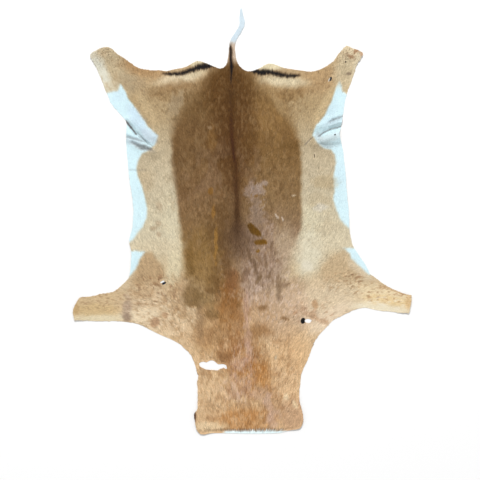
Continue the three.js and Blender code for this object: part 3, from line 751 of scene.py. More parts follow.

# %% [markdown]
# ## Bare strip and small marks
# Along the neck's cut edge the hair seems to be gone and pale skin shows. Here that strip is
# colour only. The small marks are pits, dots, a slit and the pale lips beside two pits. The
# near-black of the two holes and the pit is painted shade, standing for the shade inside them.
# They are too crisp for the hair's colours, so they go into the skin's own finish, and hair is
# kept off them.

# %% Bare strip and small marks
BARE_STRIP = (40, -632, 104, 6.2, 0.6)
BARE_SKIN = (230, 246, 248)
SMALL_MARKS = (  # name, x, y, half length, half width, turn, colour
    # painted shade: the near-black of the two holes and the pit stands for the shade inside them
    ("left shoulder hole", -234.5, -186, 7, 3.6, 27, (34, 40, 52)),
    ("left shoulder lip", -239, -181.5, 7.6, 2.4, 27, (228, 232, 232)),
    ("right shoulder pit", 182.5, -298.5, 7.4, 9.6, -14, (12, 12, 13)),
    ("hind leg hole", 265, 426.6, 7.6, 3.6, 66, (30, 32, 40)),
    ("hind leg lip", 260.6, 424, 6.5, 1.7, 66, (196, 190, 178)),
    ("leg dot", 310, 478, 3.2, 2.6, 0, (62, 52, 46)),
    ("groin dot", 278, 259, 3, 2.4, 40, (40, 42, 48)),
    ("flank slit", 217, 196, 6.5, 1.2, -84, (70, 54, 42)),
)
print("small marks:", [mark[0] for mark in SMALL_MARKS])

# %% [markdown]
# ## Laying one area
# Each kind of area asks how far a place is inside it, softens that into a share from 0 to 1
# and mixes its colour in by that share. The number of letters in an area's name seeds its
# noise, so a longer or shorter name gives it another edge.

# %% Laying one area
OVAL_REACH = 1.5
OVAL_MARGIN = 4
PATCH_LUMP = 13
MOTTLE_SEED = 60
MOTTLE_FADE = (-1.15, -0.75)
MOTTLE_SOFTNESS = 0.25
FAR = 1e9


def column(table, place, key):
    """One column of a table whose rows run down y, numbers or colours, read at each y."""
    rows = sorted(table, key=lambda row: row[0])
    ys = [row[0] for row in rows]
    values = np.array([row[key] for row in rows], float).reshape(len(rows), -1)
    return np.stack([np.interp(place, ys, value) for value in values.T], 1)


def lay(colour, tint, amount):
    return colour + (np.asarray(tint, float) - colour) * amount[:, None]


def oval(x, y, middle_x, middle_y, half_width, half_height, turn):
    """Distance from an oval's middle, 1 at its edge. A positive turn leans its top to the left."""
    c, s = math.cos(math.radians(turn)), math.sin(math.radians(turn))
    u, v = x - middle_x, y - middle_y
    return np.hypot((u * c + v * s) / half_width, (v * c - u * s) / half_height)


def near_oval(x, y, middle_x, middle_y, half_width, half_height):
    """The places that an oval can reach, so that the others are left alone."""
    reach = OVAL_REACH * max(half_width, half_height) + OVAL_MARGIN
    return np.flatnonzero((np.abs(x - middle_x) < reach) & (np.abs(y - middle_y) < reach))


def lay_patch(colour, x, y, px, py, name, cx, cy, half_w, half_h, turn, softness, ragged, amount, tint):
    k = near_oval(x, y, cx, cy, half_w, half_h)
    edge = oval(x[k], y[k], cx, cy, half_w, half_h, turn)
    edge = edge + ragged * 0.5 * rough(px[k], py[k], PATCH_LUMP, len(name))
    share = smooth_step(-edge, -1 - softness / 2, -1 + softness / 2)
    colour[k] = lay(colour[k], tint, amount * share)


def lay_mottle(colour, x, y, px, py, name, cx, cy, half_w, half_h, across, along, limit, amount, tint):
    k = near_oval(x, y, cx, cy, half_w, half_h)
    area = smooth_step(-oval(x[k], y[k], cx, cy, half_w, half_h, 0), *MOTTLE_FADE)
    noise = rough(px[k], py[k] * across / along, across, MOTTLE_SEED + len(name))
    lumps = smooth_step(noise, limit, limit + MOTTLE_SOFTNESS)
    colour[k] = lay(colour[k], tint, amount * area * lumps)


def loop_distance(x, y, loop):
    """Distance inside a loop, negative outside."""
    distance, inside = np.full(len(x), FAR), np.zeros(len(x), bool)
    for (x1, y1), (x2, y2) in zip(loop, loop[1:] + loop[:1]):
        distance = np.minimum(distance, segment_distance(x, y, x1, y1, x2, y2))
        if y1 != y2:
            inside ^= ((y1 > y) != (y2 > y)) & (x < x1 + (y - y1) * (x2 - x1) / (y2 - y1))
    return np.where(inside, distance, -distance)


def stripe_depth(x, y, rows):
    """How far a point is inside a stripe of changing width, in mm."""
    depth = np.full(len(x), -FAR)
    for (x1, y1, w1), (x2, y2, w2) in zip(rows, rows[1:]):
        dx, dy = x2 - x1, y2 - y1
        share = np.clip(((x - x1) * dx + (y - y1) * dy) / (dx * dx + dy * dy), 0, 1)
        off = np.hypot(x - x1 - share * dx, y - y1 - share * dy)
        depth = np.maximum(depth, w1 + share * (w2 - w1) - off)
    return depth


in_white = loop_distance(*(places / MM).T, WHITE_EDGES["left"]) > 0
print("charted places inside the left white loop:", int(in_white.sum()))

# %% [markdown]
# ## Black, white and the spine
# These have the coat's crispest edges, so each has its own fine noise. The spine is a dark core
# in a wide soft shade. The rump stripes have a brown rim, and their ends are drawn out along
# the hair, which is what the squeezed noise does.

# %% Black, white and the spine
WHITE_HAIR = (219, 244, 250)
PAINTED_CREASE_SHADE = (92, 88, 88)
BLACK_HAIR = (34, 28, 26)
STRIPE_RIM = (96, 70, 46)
TAIL_SIDE = (204, 182, 160)
TAIL_BRUSH = (212, 227, 236)
WHITE_SOFTNESS = 4.5
CREASE_SHADE_WIDTH = 0.45
SPINE_CORE = (0.7, 1.3)
SPINE_SHADE = (0.3, 0.1)
TAIL_X = -15
TAIL_REACH = (-80, -66)
TAIL_SIDE_FROM = (464, 494)
TAIL_BRUSH_FROM = (522, 546)
STRIPE_EDGE = (-2.6, 2.4)
STRIPE_RIM_EDGE = (-6, 0)
STRIPE_RIM_SHARE = 0.6
ALONG_SQUEEZE = 0.2
WANDER = {  # how far noise moves an edge and the size of its lumps, in mm, and its seed
    "across": (3.5, 16, 3),
    "along": (5, 18, 5),
    "white, across": (1.4, 11, 21),
    "white, along": (2, 11, 23),
    "spine": (2, 20, 9),
    "brush": (4, 6, 25),
    "stripe, across": (1.2, 5, 27),
    "stripe, along": (1.4, 5, 29),
    "stripe, hairs": (2.2, 2.6, 31),
}


def wander(name, x, y, noise=rough):
    """How far noise moves an edge at each place, in mm."""
    move, size, seed = WANDER[name]
    return move * noise(x, y, size, seed)


def lay_white(colour, px, py):
    x, y = px + wander("white, across", px, py), py + wander("white, along", px, py)
    for loop in WHITE_EDGES.values():
        inside = loop_distance(x, y, loop)
        colour = lay(colour, WHITE_HAIR, smooth_step(inside, -WHITE_SOFTNESS, WHITE_SOFTNESS))
    return colour


# Painted shade: the coat is darkened along each crease, as a fold is shaded.
def lay_painted_crease_shade(colour, px, py):
    for x1, y1, x2, y2, rise, width, dark in CREASES:
        off = segment_distance(px, py, x1, y1, x2, y2) / (CREASE_SHADE_WIDTH * width)
        colour = lay(colour, PAINTED_CREASE_SHADE, dark * np.exp(-off * off))
    return colour


def lay_spine(colour, px, py, y):
    spine_x, half_width, strength = (column(SPINE, y, k)[:, 0] for k in (1, 2, 3))
    off = np.abs(px + wander("spine", px, py) - spine_x) / half_width
    core, shade = (share * np.exp(-fall * off * off) for share, fall in (SPINE_CORE, SPINE_SHADE))
    return lay(colour, column(SPINE, y, 4), strength * (core + shade))


def lay_tail(colour, px, py):
    on_tail = smooth_step(-np.abs(px - TAIL_X), *TAIL_REACH)
    colour = lay(colour, TAIL_SIDE, on_tail * smooth_step(py, *TAIL_SIDE_FROM))
    brush = smooth_step(py + wander("brush", px, py, mottle), *TAIL_BRUSH_FROM)
    return lay(colour, TAIL_BRUSH, on_tail * brush)


def lay_stripes(colour, px, py):
    ragged = wander("stripe, along", px, py, mottle)
    ragged = ragged + wander("stripe, hairs", px, py * ALONG_SQUEEZE, mottle)
    x, y = px + wander("stripe, across", px, py, mottle), py + ragged
    for rows in STRIPES.values():
        depth = stripe_depth(x, y, rows)
        colour = lay(colour, STRIPE_RIM, STRIPE_RIM_SHARE * smooth_step(depth, *STRIPE_RIM_EDGE))
        colour = lay(colour, BLACK_HAIR, smooth_step(depth, *STRIPE_EDGE))
    return colour


moved = wander("across", *(places / MM).T)
print("noise moves an edge sideways by up to", round(float(np.abs(moved).max()), 1), "mm")

# %% [markdown]
# ## The whole pattern
# The order matters, because each layer hides what is under it: tan, saddle, elbows, tones,
# mottling, white edges, marks, painted shade along the creases, spine, tail, stripes, and the
# bare strip at the neck.

# %% The whole pattern
SADDLE_BLEND = 70
BARE_EDGE = (-1.08, -0.92)


def tan_and_saddle(x, y):
    colour = column(BASE_TAN, y, 1)
    left, right, soft, strength = (column(SADDLE, y, k)[:, 0] for k in (1, 2, 3, 4))
    middle = (left + right) / 2
    share = smooth_step(x, middle - SADDLE_BLEND, middle + SADDLE_BLEND)[:, None]
    dark = column(SADDLE, y, 5) * (1 - share) + column(SADDLE, y, 6) * share
    within = np.minimum(x - left, right - x)
    return lay(colour, dark, strength * smooth_step(within, -soft, soft))


def coat(points):
    """The coat's colour, sRGB 0 to 255, at points in metres, with painted shade at the creases, the groins
    and the neck's cut edge, and painted sheen on worn hair.
    """
    px, py = (points / MM).T
    x, y = px + wander("across", px, py), py + wander("along", px, py)
    colour = tan_and_saddle(x, y)
    for name, softness, amount, tint, loop in SHAPES:
        inside = loop_distance(x, y, loop)
        colour = lay(colour, tint, amount * smooth_step(inside, -softness, softness))
    for tone in TONES:
        lay_patch(colour, x, y, px, py, *tone)
    for area in MOTTLED:
        lay_mottle(colour, x, y, px, py, *area)
    colour = lay_white(colour, px, py)
    for mark in MARKS:
        lay_patch(colour, x, y, px, py, *mark)
    colour = lay_painted_crease_shade(colour, px, py)
    colour = lay_spine(colour, px, py, y)
    colour = lay_tail(colour, px, py)
    colour = lay_stripes(colour, px, py)
    return lay(colour, BARE_SKIN, smooth_step(-oval(px, py, *BARE_STRIP), *BARE_EDGE))


def to_linear(colour):
    """sRGB from 0 to 255 as the linear light that Blender's shaders take."""
    share = np.clip(colour / 255, 0, 1)
    return np.where(share <= 0.04045, share / 12.92, ((share + 0.055) / 1.055) ** 2.4)


probe = coat(np.array([[-0.11, 0.24], [0.235, 0.12], [-0.33, 0.15], [0.0, -0.5]]))
print("saddle, flank, belly and neck:", probe.round().astype(int).tolist())

# %% [markdown]
# ## How the hair lies
# On the living animal the hair points backwards and outwards. On the flat skin it runs from the
# neck up to the tail and fans out over the shoulders and into each leg. Some forty listed arrows
# say so, and every other place takes a blend in which near ones count most.

# %% Lie of the hair
FLOW = (  # x, y, turn in degrees clockwise from +Y, length of the hair, in mm
    (0, -600, 0, 24), (-110, -600, -24, 24), (150, -600, 26, 24), (-110, -480, -22, 22),
    (20, -480, 2, 22), (140, -480, 24, 22), (-160, -350, -35, 20), (0, -350, 0, 20),
    (190, -330, 35, 20), (-300, -250, -70, 15), (-420, -260, -88, 12), (-500, -265, -90, 11),
    (320, -220, 68, 15), (420, -240, 85, 12), (500, -245, 90, 11), (-230, -180, -35, 17),
    (230, -180, 35, 17), (0, -150, 0, 17), (-300, -20, -25, 17), (-260, 150, -18, 17),
    (-300, 230, -30, 8), (-330, 280, -30, 8), (-330, 100, -20, 12),
    (290, -20, 25, 17), (260, 150, 18, 17), (270, 230, 30, 8), (275, 285, 30, 8),
    (305, 100, 20, 12),
    (-100, 100, -5, 14), (100, 100, 5, 14), (0, 300, 0, 14), (-200, 400, -20, 15),
    (180, 400, 20, 15), (-30, 420, 0, 15), (-350, 400, -38, 13), (-430, 500, -30, 11),
    (300, 420, 22, 13), (340, 505, 28, 11), (-32, 470, 0, 18), (-30, 520, 4, 24),
    (-15, 570, 38, 26), (2, 610, 0, 26), (-3, 640, -5, 18),
)
FLOW_BLEND = 25
FLOW_FALL = -1.5


def hair_lie(points):
    """Direction and length of the hair at points in metres."""
    table = np.array(FLOW, float)
    gap_sq = ((points[:, None] / MM - table[:, :2]) ** 2).sum(2)
    weight = (gap_sq + FLOW_BLEND ** 2) ** FLOW_FALL
    weight /= weight.sum(1, keepdims=True)
    turn = np.radians(table[:, 2])
    way = np.stack([weight @ np.sin(turn), weight @ np.cos(turn)], 1)
    return way / np.linalg.norm(way, axis=1, keepdims=True), weight @ table[:, 3] * MM


ways, lengths = hair_lie(np.array([[0, 0], [-0.42, -0.26]]))
print("hair at the back and the left foreleg:", ways.round(2).tolist(), (lengths / MM).round(1).tolist())

# %% [markdown]
# ## The skin, cut to its outline
# Tanned skin is a sheet of even depth. A grid is laid over the whole hide and its cells outside
# the rim are deleted, as a tanner would trim the skin. The border is then moved onto the rim.
# The row of points behind it is eased, so no cell is left turned over or squashed flat.

# %% Skin grid
SKIN_CELL = 4.6 * MM
EASE_ROUNDS = 2
EASE_SHARE = 0.5


def flat_grid():
    width, length = cad_high.x - cad_low.x, cad_high.y - cad_low.y
    middle = (cad_low + cad_high) / 2
    stretch = Matrix.Diagonal((width / 2, length / 2, 1, 1))
    bm = bmesh.new()
    bmesh.ops.create_grid(
        bm,
        x_segments=round(width / SKIN_CELL),
        y_segments=round(length / SKIN_CELL),
        size=1,
        matrix=Matrix.Translation((middle.x, middle.y, 0)) @ stretch,
    )
    return bm


def delete_faces(bm, faces):
    bmesh.ops.delete(bm, geom=faces, context="FACES")


def trim_to_rim(bm):
    """Delete the cells outside the rim, then those that hang on by one side or one corner."""
    middles = np.array([face.calc_center_median().xy[:] for face in bm.faces])
    outside = rim_distance(middles)[0] < 0
    delete_faces(bm, [face for face, out in zip(bm.faces, outside) if out])
    while True:
        loose = {face for face in bm.faces if sum(edge.is_boundary for edge in face.edges) > 2}
        for vert in bm.verts:
            if sum(edge.is_boundary for edge in vert.link_edges) > 2:
                loose.add(min(vert.link_faces, key=lambda face: face.calc_center_median().y))
        if not loose:
            return
        delete_faces(bm, list(loose))


def draw_to_rim(bm):
    border = [vert for vert in bm.verts if vert.is_boundary]
    nearest = rim_distance(np.array([vert.co.xy[:] for vert in border]))[1]
    for vert, place in zip(border, nearest):
        vert.co.xy = place
    fixed = set(border)
    ring = {edge.other_vert(vert) for vert in border for edge in vert.link_edges} - fixed
    for _ in range(EASE_ROUNDS):
        bmesh.ops.smooth_vert(bm, verts=list(ring), factor=EASE_SHARE, use_axis_x=True, use_axis_y=True)


skin_bm = flat_grid()
trim_to_rim(skin_bm)
draw_to_rim(skin_bm)
print("cells inside the rim:", len(skin_bm.faces))

# %% [markdown]
# ## The skin's creases, depth and map
# Cells near the creases are halved, because a crease is narrower than two of them. The sheet
# gets its depth while flat and is lifted onto the chart of heights afterwards, because a solid
# made after that would lean its walls and rise off the floor. The map is for baking its
# finishes: hair side left, flesh side right, with the cut edge folded out round it.

# %% Skin creases, depth and map
CREASE_MARGIN = 5
MAP_MARGIN = 2 * SKIN_DEPTH


def refine_creases(bm):
    near = []
    for edge in bm.edges:
        x, y = (v / MM for v in (edge.verts[0].co + edge.verts[1].co).xy / 2)
        if any(segment_distance(x, y, *crease[:4]) < crease[5] + CREASE_MARGIN for crease in CREASES):
            near.append(edge)
    bmesh.ops.subdivide_edges(bm, edges=near, cuts=1, use_grid_fill=True)


def thicken(bm):
    """Give the flat sheet its depth and lift it. Returns which of its points are on top."""
    bmesh.ops.solidify(bm, geom=bm.faces[:], thickness=SKIN_DEPTH)
    bmesh.ops.recalc_face_normals(bm, faces=bm.faces[:])
    levels = np.array([vert.co.z for vert in bm.verts])
    upper = levels > (levels.max() + levels.min()) / 2
    heights = lie.at(np.array([vert.co.xy[:] for vert in bm.verts]))
    for vert, is_upper, height in zip(bm.verts, upper, heights):
        vert.co.z = height + SKIN_DEPTH * is_upper
    return upper


def plan_map(bm, upper):
    """Place each corner on the map, with half of its width for each side of the skin."""
    span = (cad_high - cad_low).xy + Vector((2 * MAP_MARGIN, 2 * MAP_MARGIN))
    start = cad_low.xy - Vector((MAP_MARGIN, MAP_MARGIN))
    layer = bm.loops.layers.uv.new("OFBake")
    for face in bm.faces:
        sides = [upper[vert.index] for vert in face.verts]
        wall = any(sides) and not all(sides)
        face.material_index = 0 if all(sides) else 1
        outward = face.normal.xy.normalized() * SKIN_DEPTH if wall else Vector((0, 0))
        for loop in face.loops:
            place = loop.vert.co.xy - start
            if wall and upper[loop.vert.index]:
                place += outward
            u = place.x / span.x / 2 + (0 if all(sides) else 0.5)
            loop[layer].uv = (u, place.y / span.y)


refine_creases(skin_bm)
skin_bm.normal_update()
print("turned cells:", sum(face.normal.z < LOOKS_SIDEWAYS for face in skin_bm.faces))
upper = thicken(skin_bm)
skin_bm.verts.index_update()
skin_bm.normal_update()
plan_map(skin_bm, upper)
print("points on top and below:", int(upper.sum()), int((~upper).sum()))

# %% [markdown]
# ## The skin's mesh and colours
# The coat's colour is kept on the skin's own points as an attribute, which its finish reads.
# A narrow gap between two locks then shows skin of about their own tone.

# %% Skin mesh
def paint(mesh, colours):
    """Keep linear colours on a mesh's points, for its material to read."""
    layer = mesh.color_attributes.new("coat", "FLOAT_COLOR", "POINT")
    values = np.ones((len(colours), 4))
    values[:, :3] = colours
    layer.data.foreach_set("color", values.ravel())


def point_places(mesh):
    places_of = np.empty(len(mesh.vertices) * 3)
    mesh.vertices.foreach_get("co", places_of)
    return places_of.reshape(-1, 3)


skin_mesh = bpy.data.meshes.new("skin")
skin_bm.to_mesh(skin_mesh)
skin_bm.free()
paint(skin_mesh, to_linear(coat(point_places(skin_mesh)[:, :2])))
print("skin faces:", len(skin_mesh.polygons))

# %% [markdown]
# ## Building blocks for the finishes
# Skin and hair are never one flat colour. Each finish is built from the same few steps: a noise
# on Object coordinates, that noise stretched to a range of values, a colour made lighter or
# darker by it, and a fine relief. The small pits are ovals, each centred and turned by a
# Mapping node, because the mesh's points are too far apart to hold a crisp edge.

# %% Building blocks for the finishes
NOISE_RANGE = (0.3, 0.7)
MARK_EDGE = (1.1, 0.85)
MIX_BELOW, MIX_ABOVE, MIX_RESULT = 6, 7, 2


def grain(add, link, scale, detail=4.0, source=None):
    """Noise on Object coordinates, or on another socket. Returns its socket."""
    where = add("ShaderNodeTexCoord")
    noise = add("ShaderNodeTexNoise", Scale=scale, Detail=detail)
    link(source or where.outputs["Object"], noise.inputs["Vector"])
    return noise.outputs["Fac"]


def spread(add, link, value, low, high):
    """A noise value stretched to run from low to high."""
    stretch = add("ShaderNodeMapRange", From_Min=NOISE_RANGE[0], From_Max=NOISE_RANGE[1])
    stretch.inputs["To Min"].default_value = low
    stretch.inputs["To Max"].default_value = high
    link(value, stretch.inputs["Value"])
    return stretch.outputs["Result"]


def scaled_colour(add, link, colour, factor):
    scale = add("ShaderNodeVectorMath")
    scale.operation = "SCALE"
    link(colour, scale.inputs[0])
    link(factor, scale.inputs["Scale"])
    return scale.outputs["Vector"]


def colour_mix(add):
    blend = add("ShaderNodeMix")
    blend.data_type = "RGBA"
    return blend


def linear_rgba(tint):
    return (*to_linear(np.array(tint, float)), 1)


def raised(add, link, shader, height, depth, strength=1.0):
    bump = add("ShaderNodeBump", Strength=strength, Distance=depth)
    link(height, bump.inputs["Height"])
    link(bump.outputs["Normal"], shader.inputs["Normal"])


def oval_mark(add, link, colour, mark):
    """Lay one small mark over a colour socket."""
    name, x, y, half_length, half_width, turn, tint = mark
    where = add("ShaderNodeTexCoord")
    frame_of_mark = add("ShaderNodeMapping")
    frame_of_mark.vector_type = "TEXTURE"
    frame_of_mark.inputs["Location"].default_value = (x * MM, y * MM, 0)
    frame_of_mark.inputs["Rotation"].default_value = (0, 0, math.radians(turn))
    frame_of_mark.inputs["Scale"].default_value = (half_length * MM, half_width * MM, 1)
    link(where.outputs["Object"], frame_of_mark.inputs["Vector"])
    size = add("ShaderNodeVectorMath")
    size.operation = "LENGTH"
    link(frame_of_mark.outputs["Vector"], size.inputs[0])
    edge = add("ShaderNodeMapRange", From_Min=MARK_EDGE[0], From_Max=MARK_EDGE[1])
    link(size.outputs["Value"], edge.inputs["Value"])
    blend = colour_mix(add)
    link(edge.outputs["Result"], blend.inputs["Factor"])
    link(colour, blend.inputs[MIX_BELOW])
    blend.inputs[MIX_ABOVE].default_value = linear_rgba(tint)
    return blend.outputs[MIX_RESULT]


print("black hair in linear light:", [round(float(v), 4) for v in linear_rgba(BLACK_HAIR)])

# %% [markdown]
# ## Finish of the hair side
# The hair side of the skin shows only in the small marks, along the rim and in narrow gaps
# between locks. It has nearly the coat's own colour, a little uneven, and hardly any shine.

# %% Hair side of the skin
SKIN_SHADE = 0.98
SKIN_UNEVEN = 0.15
UNEVEN_SCALE, SHINE_SCALE, PORE_SCALE = 120, 60, 900
SKIN_ROUGHNESS = (0.65, 0.85)
SKIN_SHINE = 0.2
PORE_DEPTH = 0.3 * MM


def hair_side_material():
    material, shader, add, link = new_material("hair_side_skin")
    painted = add("ShaderNodeAttribute")
    painted.attribute_name = "coat"
    low, high = SKIN_SHADE * (1 - SKIN_UNEVEN), SKIN_SHADE * (1 + SKIN_UNEVEN)
    shade = spread(add, link, grain(add, link, UNEVEN_SCALE), low, high)
    colour = scaled_colour(add, link, painted.outputs["Color"], shade)
    for mark in SMALL_MARKS:
        colour = oval_mark(add, link, colour, mark)
    link(colour, shader.inputs["Base Color"])
    link(spread(add, link, grain(add, link, SHINE_SCALE), *SKIN_ROUGHNESS), shader.inputs["Roughness"])
    shader.inputs["Specular IOR Level"].default_value = SKIN_SHINE
    raised(add, link, shader, grain(add, link, PORE_SCALE), PORE_DEPTH)
    return material


hair_side = hair_side_material()
print("nodes in the hair side's finish:", len(hair_side.node_tree.nodes))

# %% [markdown]
# ## Finish of the flesh side
# The flesh side and the cut edge are pale suede: two close tones in cloudy patches, a fine nap
# that catches the light, and a soft relief.

# %% Flesh side of the skin
SUEDE = (214, 198, 172)
SUEDE_DARK = (188, 164, 134)
CLOUD_SCALE, CLOUD_DETAIL = 14, 6.0
NAP_SCALE, DULLNESS_SCALE, RELIEF_SCALE = 420, 35, 1400
NAP_TONES = (0.9, 1.06)
SUEDE_ROUGHNESS = (0.8, 0.95)
SUEDE_SHEEN = 0.3
NAP_DEPTH = 0.35 * MM


def flesh_side_material():
    material, shader, add, link = new_material("flesh_side_suede")
    blend = colour_mix(add)
    blend.inputs[MIX_BELOW].default_value = linear_rgba(SUEDE)
    blend.inputs[MIX_ABOVE].default_value = linear_rgba(SUEDE_DARK)
    link(spread(add, link, grain(add, link, CLOUD_SCALE, CLOUD_DETAIL), 0, 1), blend.inputs["Factor"])
    nap = spread(add, link, grain(add, link, NAP_SCALE), *NAP_TONES)
    link(scaled_colour(add, link, blend.outputs[MIX_RESULT], nap), shader.inputs["Base Color"])
    link(spread(add, link, grain(add, link, DULLNESS_SCALE), *SUEDE_ROUGHNESS), shader.inputs["Roughness"])
    shader.inputs["Sheen Weight"].default_value = SUEDE_SHEEN
    raised(add, link, shader, grain(add, link, RELIEF_SCALE), NAP_DEPTH)
    return material


skin = add_object("skin", skin_mesh, hair_side, flesh_side_material())
print("skin materials:", [material.name for material in skin.data.materials])

# %% [markdown]
# ## Where hair may lie
# Single hairs would run to millions of faces. At this size they read as small locks, about
# 130,000 of them, which overlap like roof tiles, so hardly any skin shows between them. A root
# is set at random in each cell of a fine grid. A lock is shortened where it would hang far over
# the rim, an opening or a small mark.

# %% Where hair may lie
OVERHANG = 2.2 * MM
MARK_OVERHANG = 1.6 * MM
REACH_STEPS = 10
ROOT_MARGIN = 0.4 * MM
LOCK_SPACING = 2.25 * MM
NO_MARK_NEAR = 1.0


def bare_distance(points):
    """Distance outside the nearest small mark, roughly, negative on it."""
    distance = np.full(len(points), NO_MARK_NEAR)
    for name, x, y, half_length, half_width, turn, tint in SMALL_MARKS:
        size = oval(*(points / MM).T, x, y, half_length, half_width, turn)
        distance = np.minimum(distance, (size - 1) * min(half_length, half_width) * MM)
    return distance


def room(points):
    """Distance inside the haired area."""
    return np.minimum(from_rim.at(points), bare_distance(points) - MARK_OVERHANG)


def free_share(roots, reach, overhang):
    """Share of each lock's reach that stays over the hide."""
    free, share = np.ones(len(roots), bool), np.zeros(len(roots))
    for step in range(1, REACH_STEPS + 1):
        free &= room(roots + reach * step / REACH_STEPS) > -overhang
        share += free / REACH_STEPS
    return share


def scatter(spacing):
    """A root in each cell of a grid over the hide, moved at random within its cell."""
    x = np.arange(cad_low.x, cad_high.x, spacing)
    y = np.arange(cad_low.y, cad_high.y, spacing)
    roots = np.stack(np.meshgrid(x, y), 2).reshape(-1, 2)
    roots += chance.uniform(0, spacing, roots.shape)
    return roots[room(roots) > ROOT_MARGIN]


roots = scatter(LOCK_SPACING)
roots = roots[np.argsort(roots[:, 1], kind="stable")]
print("roots of locks:", len(roots))

# %% [markdown]
# ## Shape of a lock
# A lock is a closed spindle of six flat triangles: a root in the skin, a ring of three points
# half way along, and a tip. It lies along the chart of directions, turned a little at random
# and a little with its neighbours, as hair parts into tufts. It rises through the pile and its
# tip lies on the locks in front. Its six faces are left flat.

# %% Shape of a lock
RING_AT = 0.5
ROOT_DEPTH = 0.5 * MM
LENGTH_RANGE = (0.75, 1.2)
TUFT_TURN = (9, 26, 71)
FULL_WIDTH_FROM = 6 * MM
LEAST_WIDTH = 0.35
LOFT = 0.78
LOFT_UNEVEN = (0.22, 17, 73)
MIDDLE_LIFT = (0.5, 0.62)
TIP_LIFT = (0.5, 0.72)
CROWN_SHARE = 0.16
CROWN_LIMIT = 0.3 * MM
LOCK_FACES = np.array([(0, 2, 1), (0, 3, 2), (0, 1, 3), (4, 1, 2), (4, 2, 3), (4, 3, 1)])


def uneven(amount, size, seed, x, y):
    return amount * rough(x, y, size, seed)


def turned(way, turn):
    return np.stack([way[:, 0] * np.cos(turn) + way[:, 1] * np.sin(turn),
                     way[:, 1] * np.cos(turn) - way[:, 0] * np.sin(turn)], 1)


def lock_points(roots, width_range, turn_spread):
    """Five points for each lock: root, left, top, right and tip."""
    count = len(roots)
    way, length = hair_lie(roots)
    x, y = (roots / MM).T
    way = turned(way, np.radians(chance.normal(0, turn_spread, count) + uneven(*TUFT_TURN, x, y)))
    length *= chance.uniform(*LENGTH_RANGE, count)
    overhang = OVERHANG * chance.uniform(0, 1, count)
    length *= free_share(roots, way * length[:, None], overhang)
    across = np.stack([way[:, 1], -way[:, 0]], 1) * chance.uniform(*width_range, count)[:, None] / 2
    across *= np.clip(length / FULL_WIDTH_FROM, LEAST_WIDTH, 1)[:, None]
    middle, tip = roots + way * length[:, None] * RING_AT, roots + way * length[:, None]
    loft = LOFT + uneven(*LOFT_UNEVEN, x, y)
    middle_lift = pile.at(middle) * loft * chance.uniform(*MIDDLE_LIFT, count)
    tip_lift = pile.at(tip) * loft * chance.uniform(*TIP_LIFT, count)
    top_lift = middle_lift + np.minimum(CROWN_SHARE * pile.at(middle), CROWN_LIMIT)
    plan = np.stack([roots, middle - across, middle, middle + across, tip], 1)
    rise = np.stack([-np.full(count, ROOT_DEPTH), middle_lift, top_lift, middle_lift, tip_lift], 1)
    ground = lie.at(plan.reshape(-1, 2)).reshape(count, 5) + SKIN_DEPTH
    return np.concatenate([plan, (ground + rise)[..., None]], 2), length


print("triangles in a lock:", len(LOCK_FACES))

# %% [markdown]
# ## Colour of a lock
# Each point of a lock asks the pattern for its colour close to its own place, so stripes and
# edges stay as crisp as on the real hide. Each lock is then a little lighter or darker than
# the next, more so on the neck, less so on the legs, and hardly at all where the hair is white.

# %% Colour of a lock
OWN_PLACE, LOCK_CENTRE = 0.7, 0.3
CENTRE_FROM_ROOT, CENTRE_FROM_TIP = 0.45, 0.55
ROOT_SHADE = 0.98
TIP_SHADE = 1.02
LOCK_TONE = 0.13
CLUMP_TONE = (0.10, 8, 75)
MORE_ON_NECK = (0.15, 220, 320)
LESS_ON_LEGS = (0.45, 300, 360)
LESS_ON_WHITE = (0.75, 0.55, 0.75)
COAT_GAIN = 0.89
GLOSS_LIFT = 0.012
DARKEST = 0.002


def ramp(amount, low, high, value):
    return amount * smooth_step(value, low, high)


def lock_colours(points):
    """Linear colours of every point, with each lock a little lighter or darker than the next."""
    count = len(points)
    plan = points[..., :2]
    centre = plan[:, :1] * CENTRE_FROM_ROOT + plan[:, 4:] * CENTRE_FROM_TIP
    asked = plan * OWN_PLACE + centre * LOCK_CENTRE
    colours = np.empty((count, 5, 3))
    colours[:, 0] = to_linear(coat(asked[:, 0])) * ROOT_SHADE
    colours[:, 1:4] = to_linear(coat(asked[:, 2]))[:, None]
    colours[:, 4] = to_linear(coat(asked[:, 4])) * TIP_SHADE
    x, y = (plan[:, 0] / MM).T
    ruffled = 1 + ramp(*MORE_ON_NECK, -y) - ramp(*LESS_ON_LEGS, np.abs(x))
    ruffled *= 1 - ramp(*LESS_ON_WHITE, colours[:, 4].mean(1))
    tone = 1 + (chance.normal(0, LOCK_TONE, count) + uneven(*CLUMP_TONE, x, y)) * ruffled
    colours = (colours * tone[:, None, None] - GLOSS_LIFT) * COAT_GAIN
    return np.maximum(colours, DARKEST).reshape(-1, 3)


print("locks differ in tone by about", LOCK_TONE, "and clumps by up to", CLUMP_TONE[0])

# %% [markdown]
# ## Mesh of many locks
# That many separate objects would be slow, so the locks of one region are worked out as arrays
# and joined in one mesh. Each point also keeps its place across and along its lock, which the
# hair's finish uses to draw fine streaks that run the right way.

# %% Mesh of many locks
STRAND_SHIFT = 1000
STRAND_HALF = 1.2


def strand_places(points, length):
    """For each point, its place across and along its lock in mm, for fine streaks along it."""
    shift = chance.uniform(0, STRAND_SHIFT, len(points))
    across = np.stack([shift, shift - STRAND_HALF, shift, shift + STRAND_HALF, shift], 1)
    along = length[:, None] / MM * np.array([0, RING_AT, RING_AT, RING_AT, 1])
    return np.stack([across, along, np.zeros_like(across)], 2)


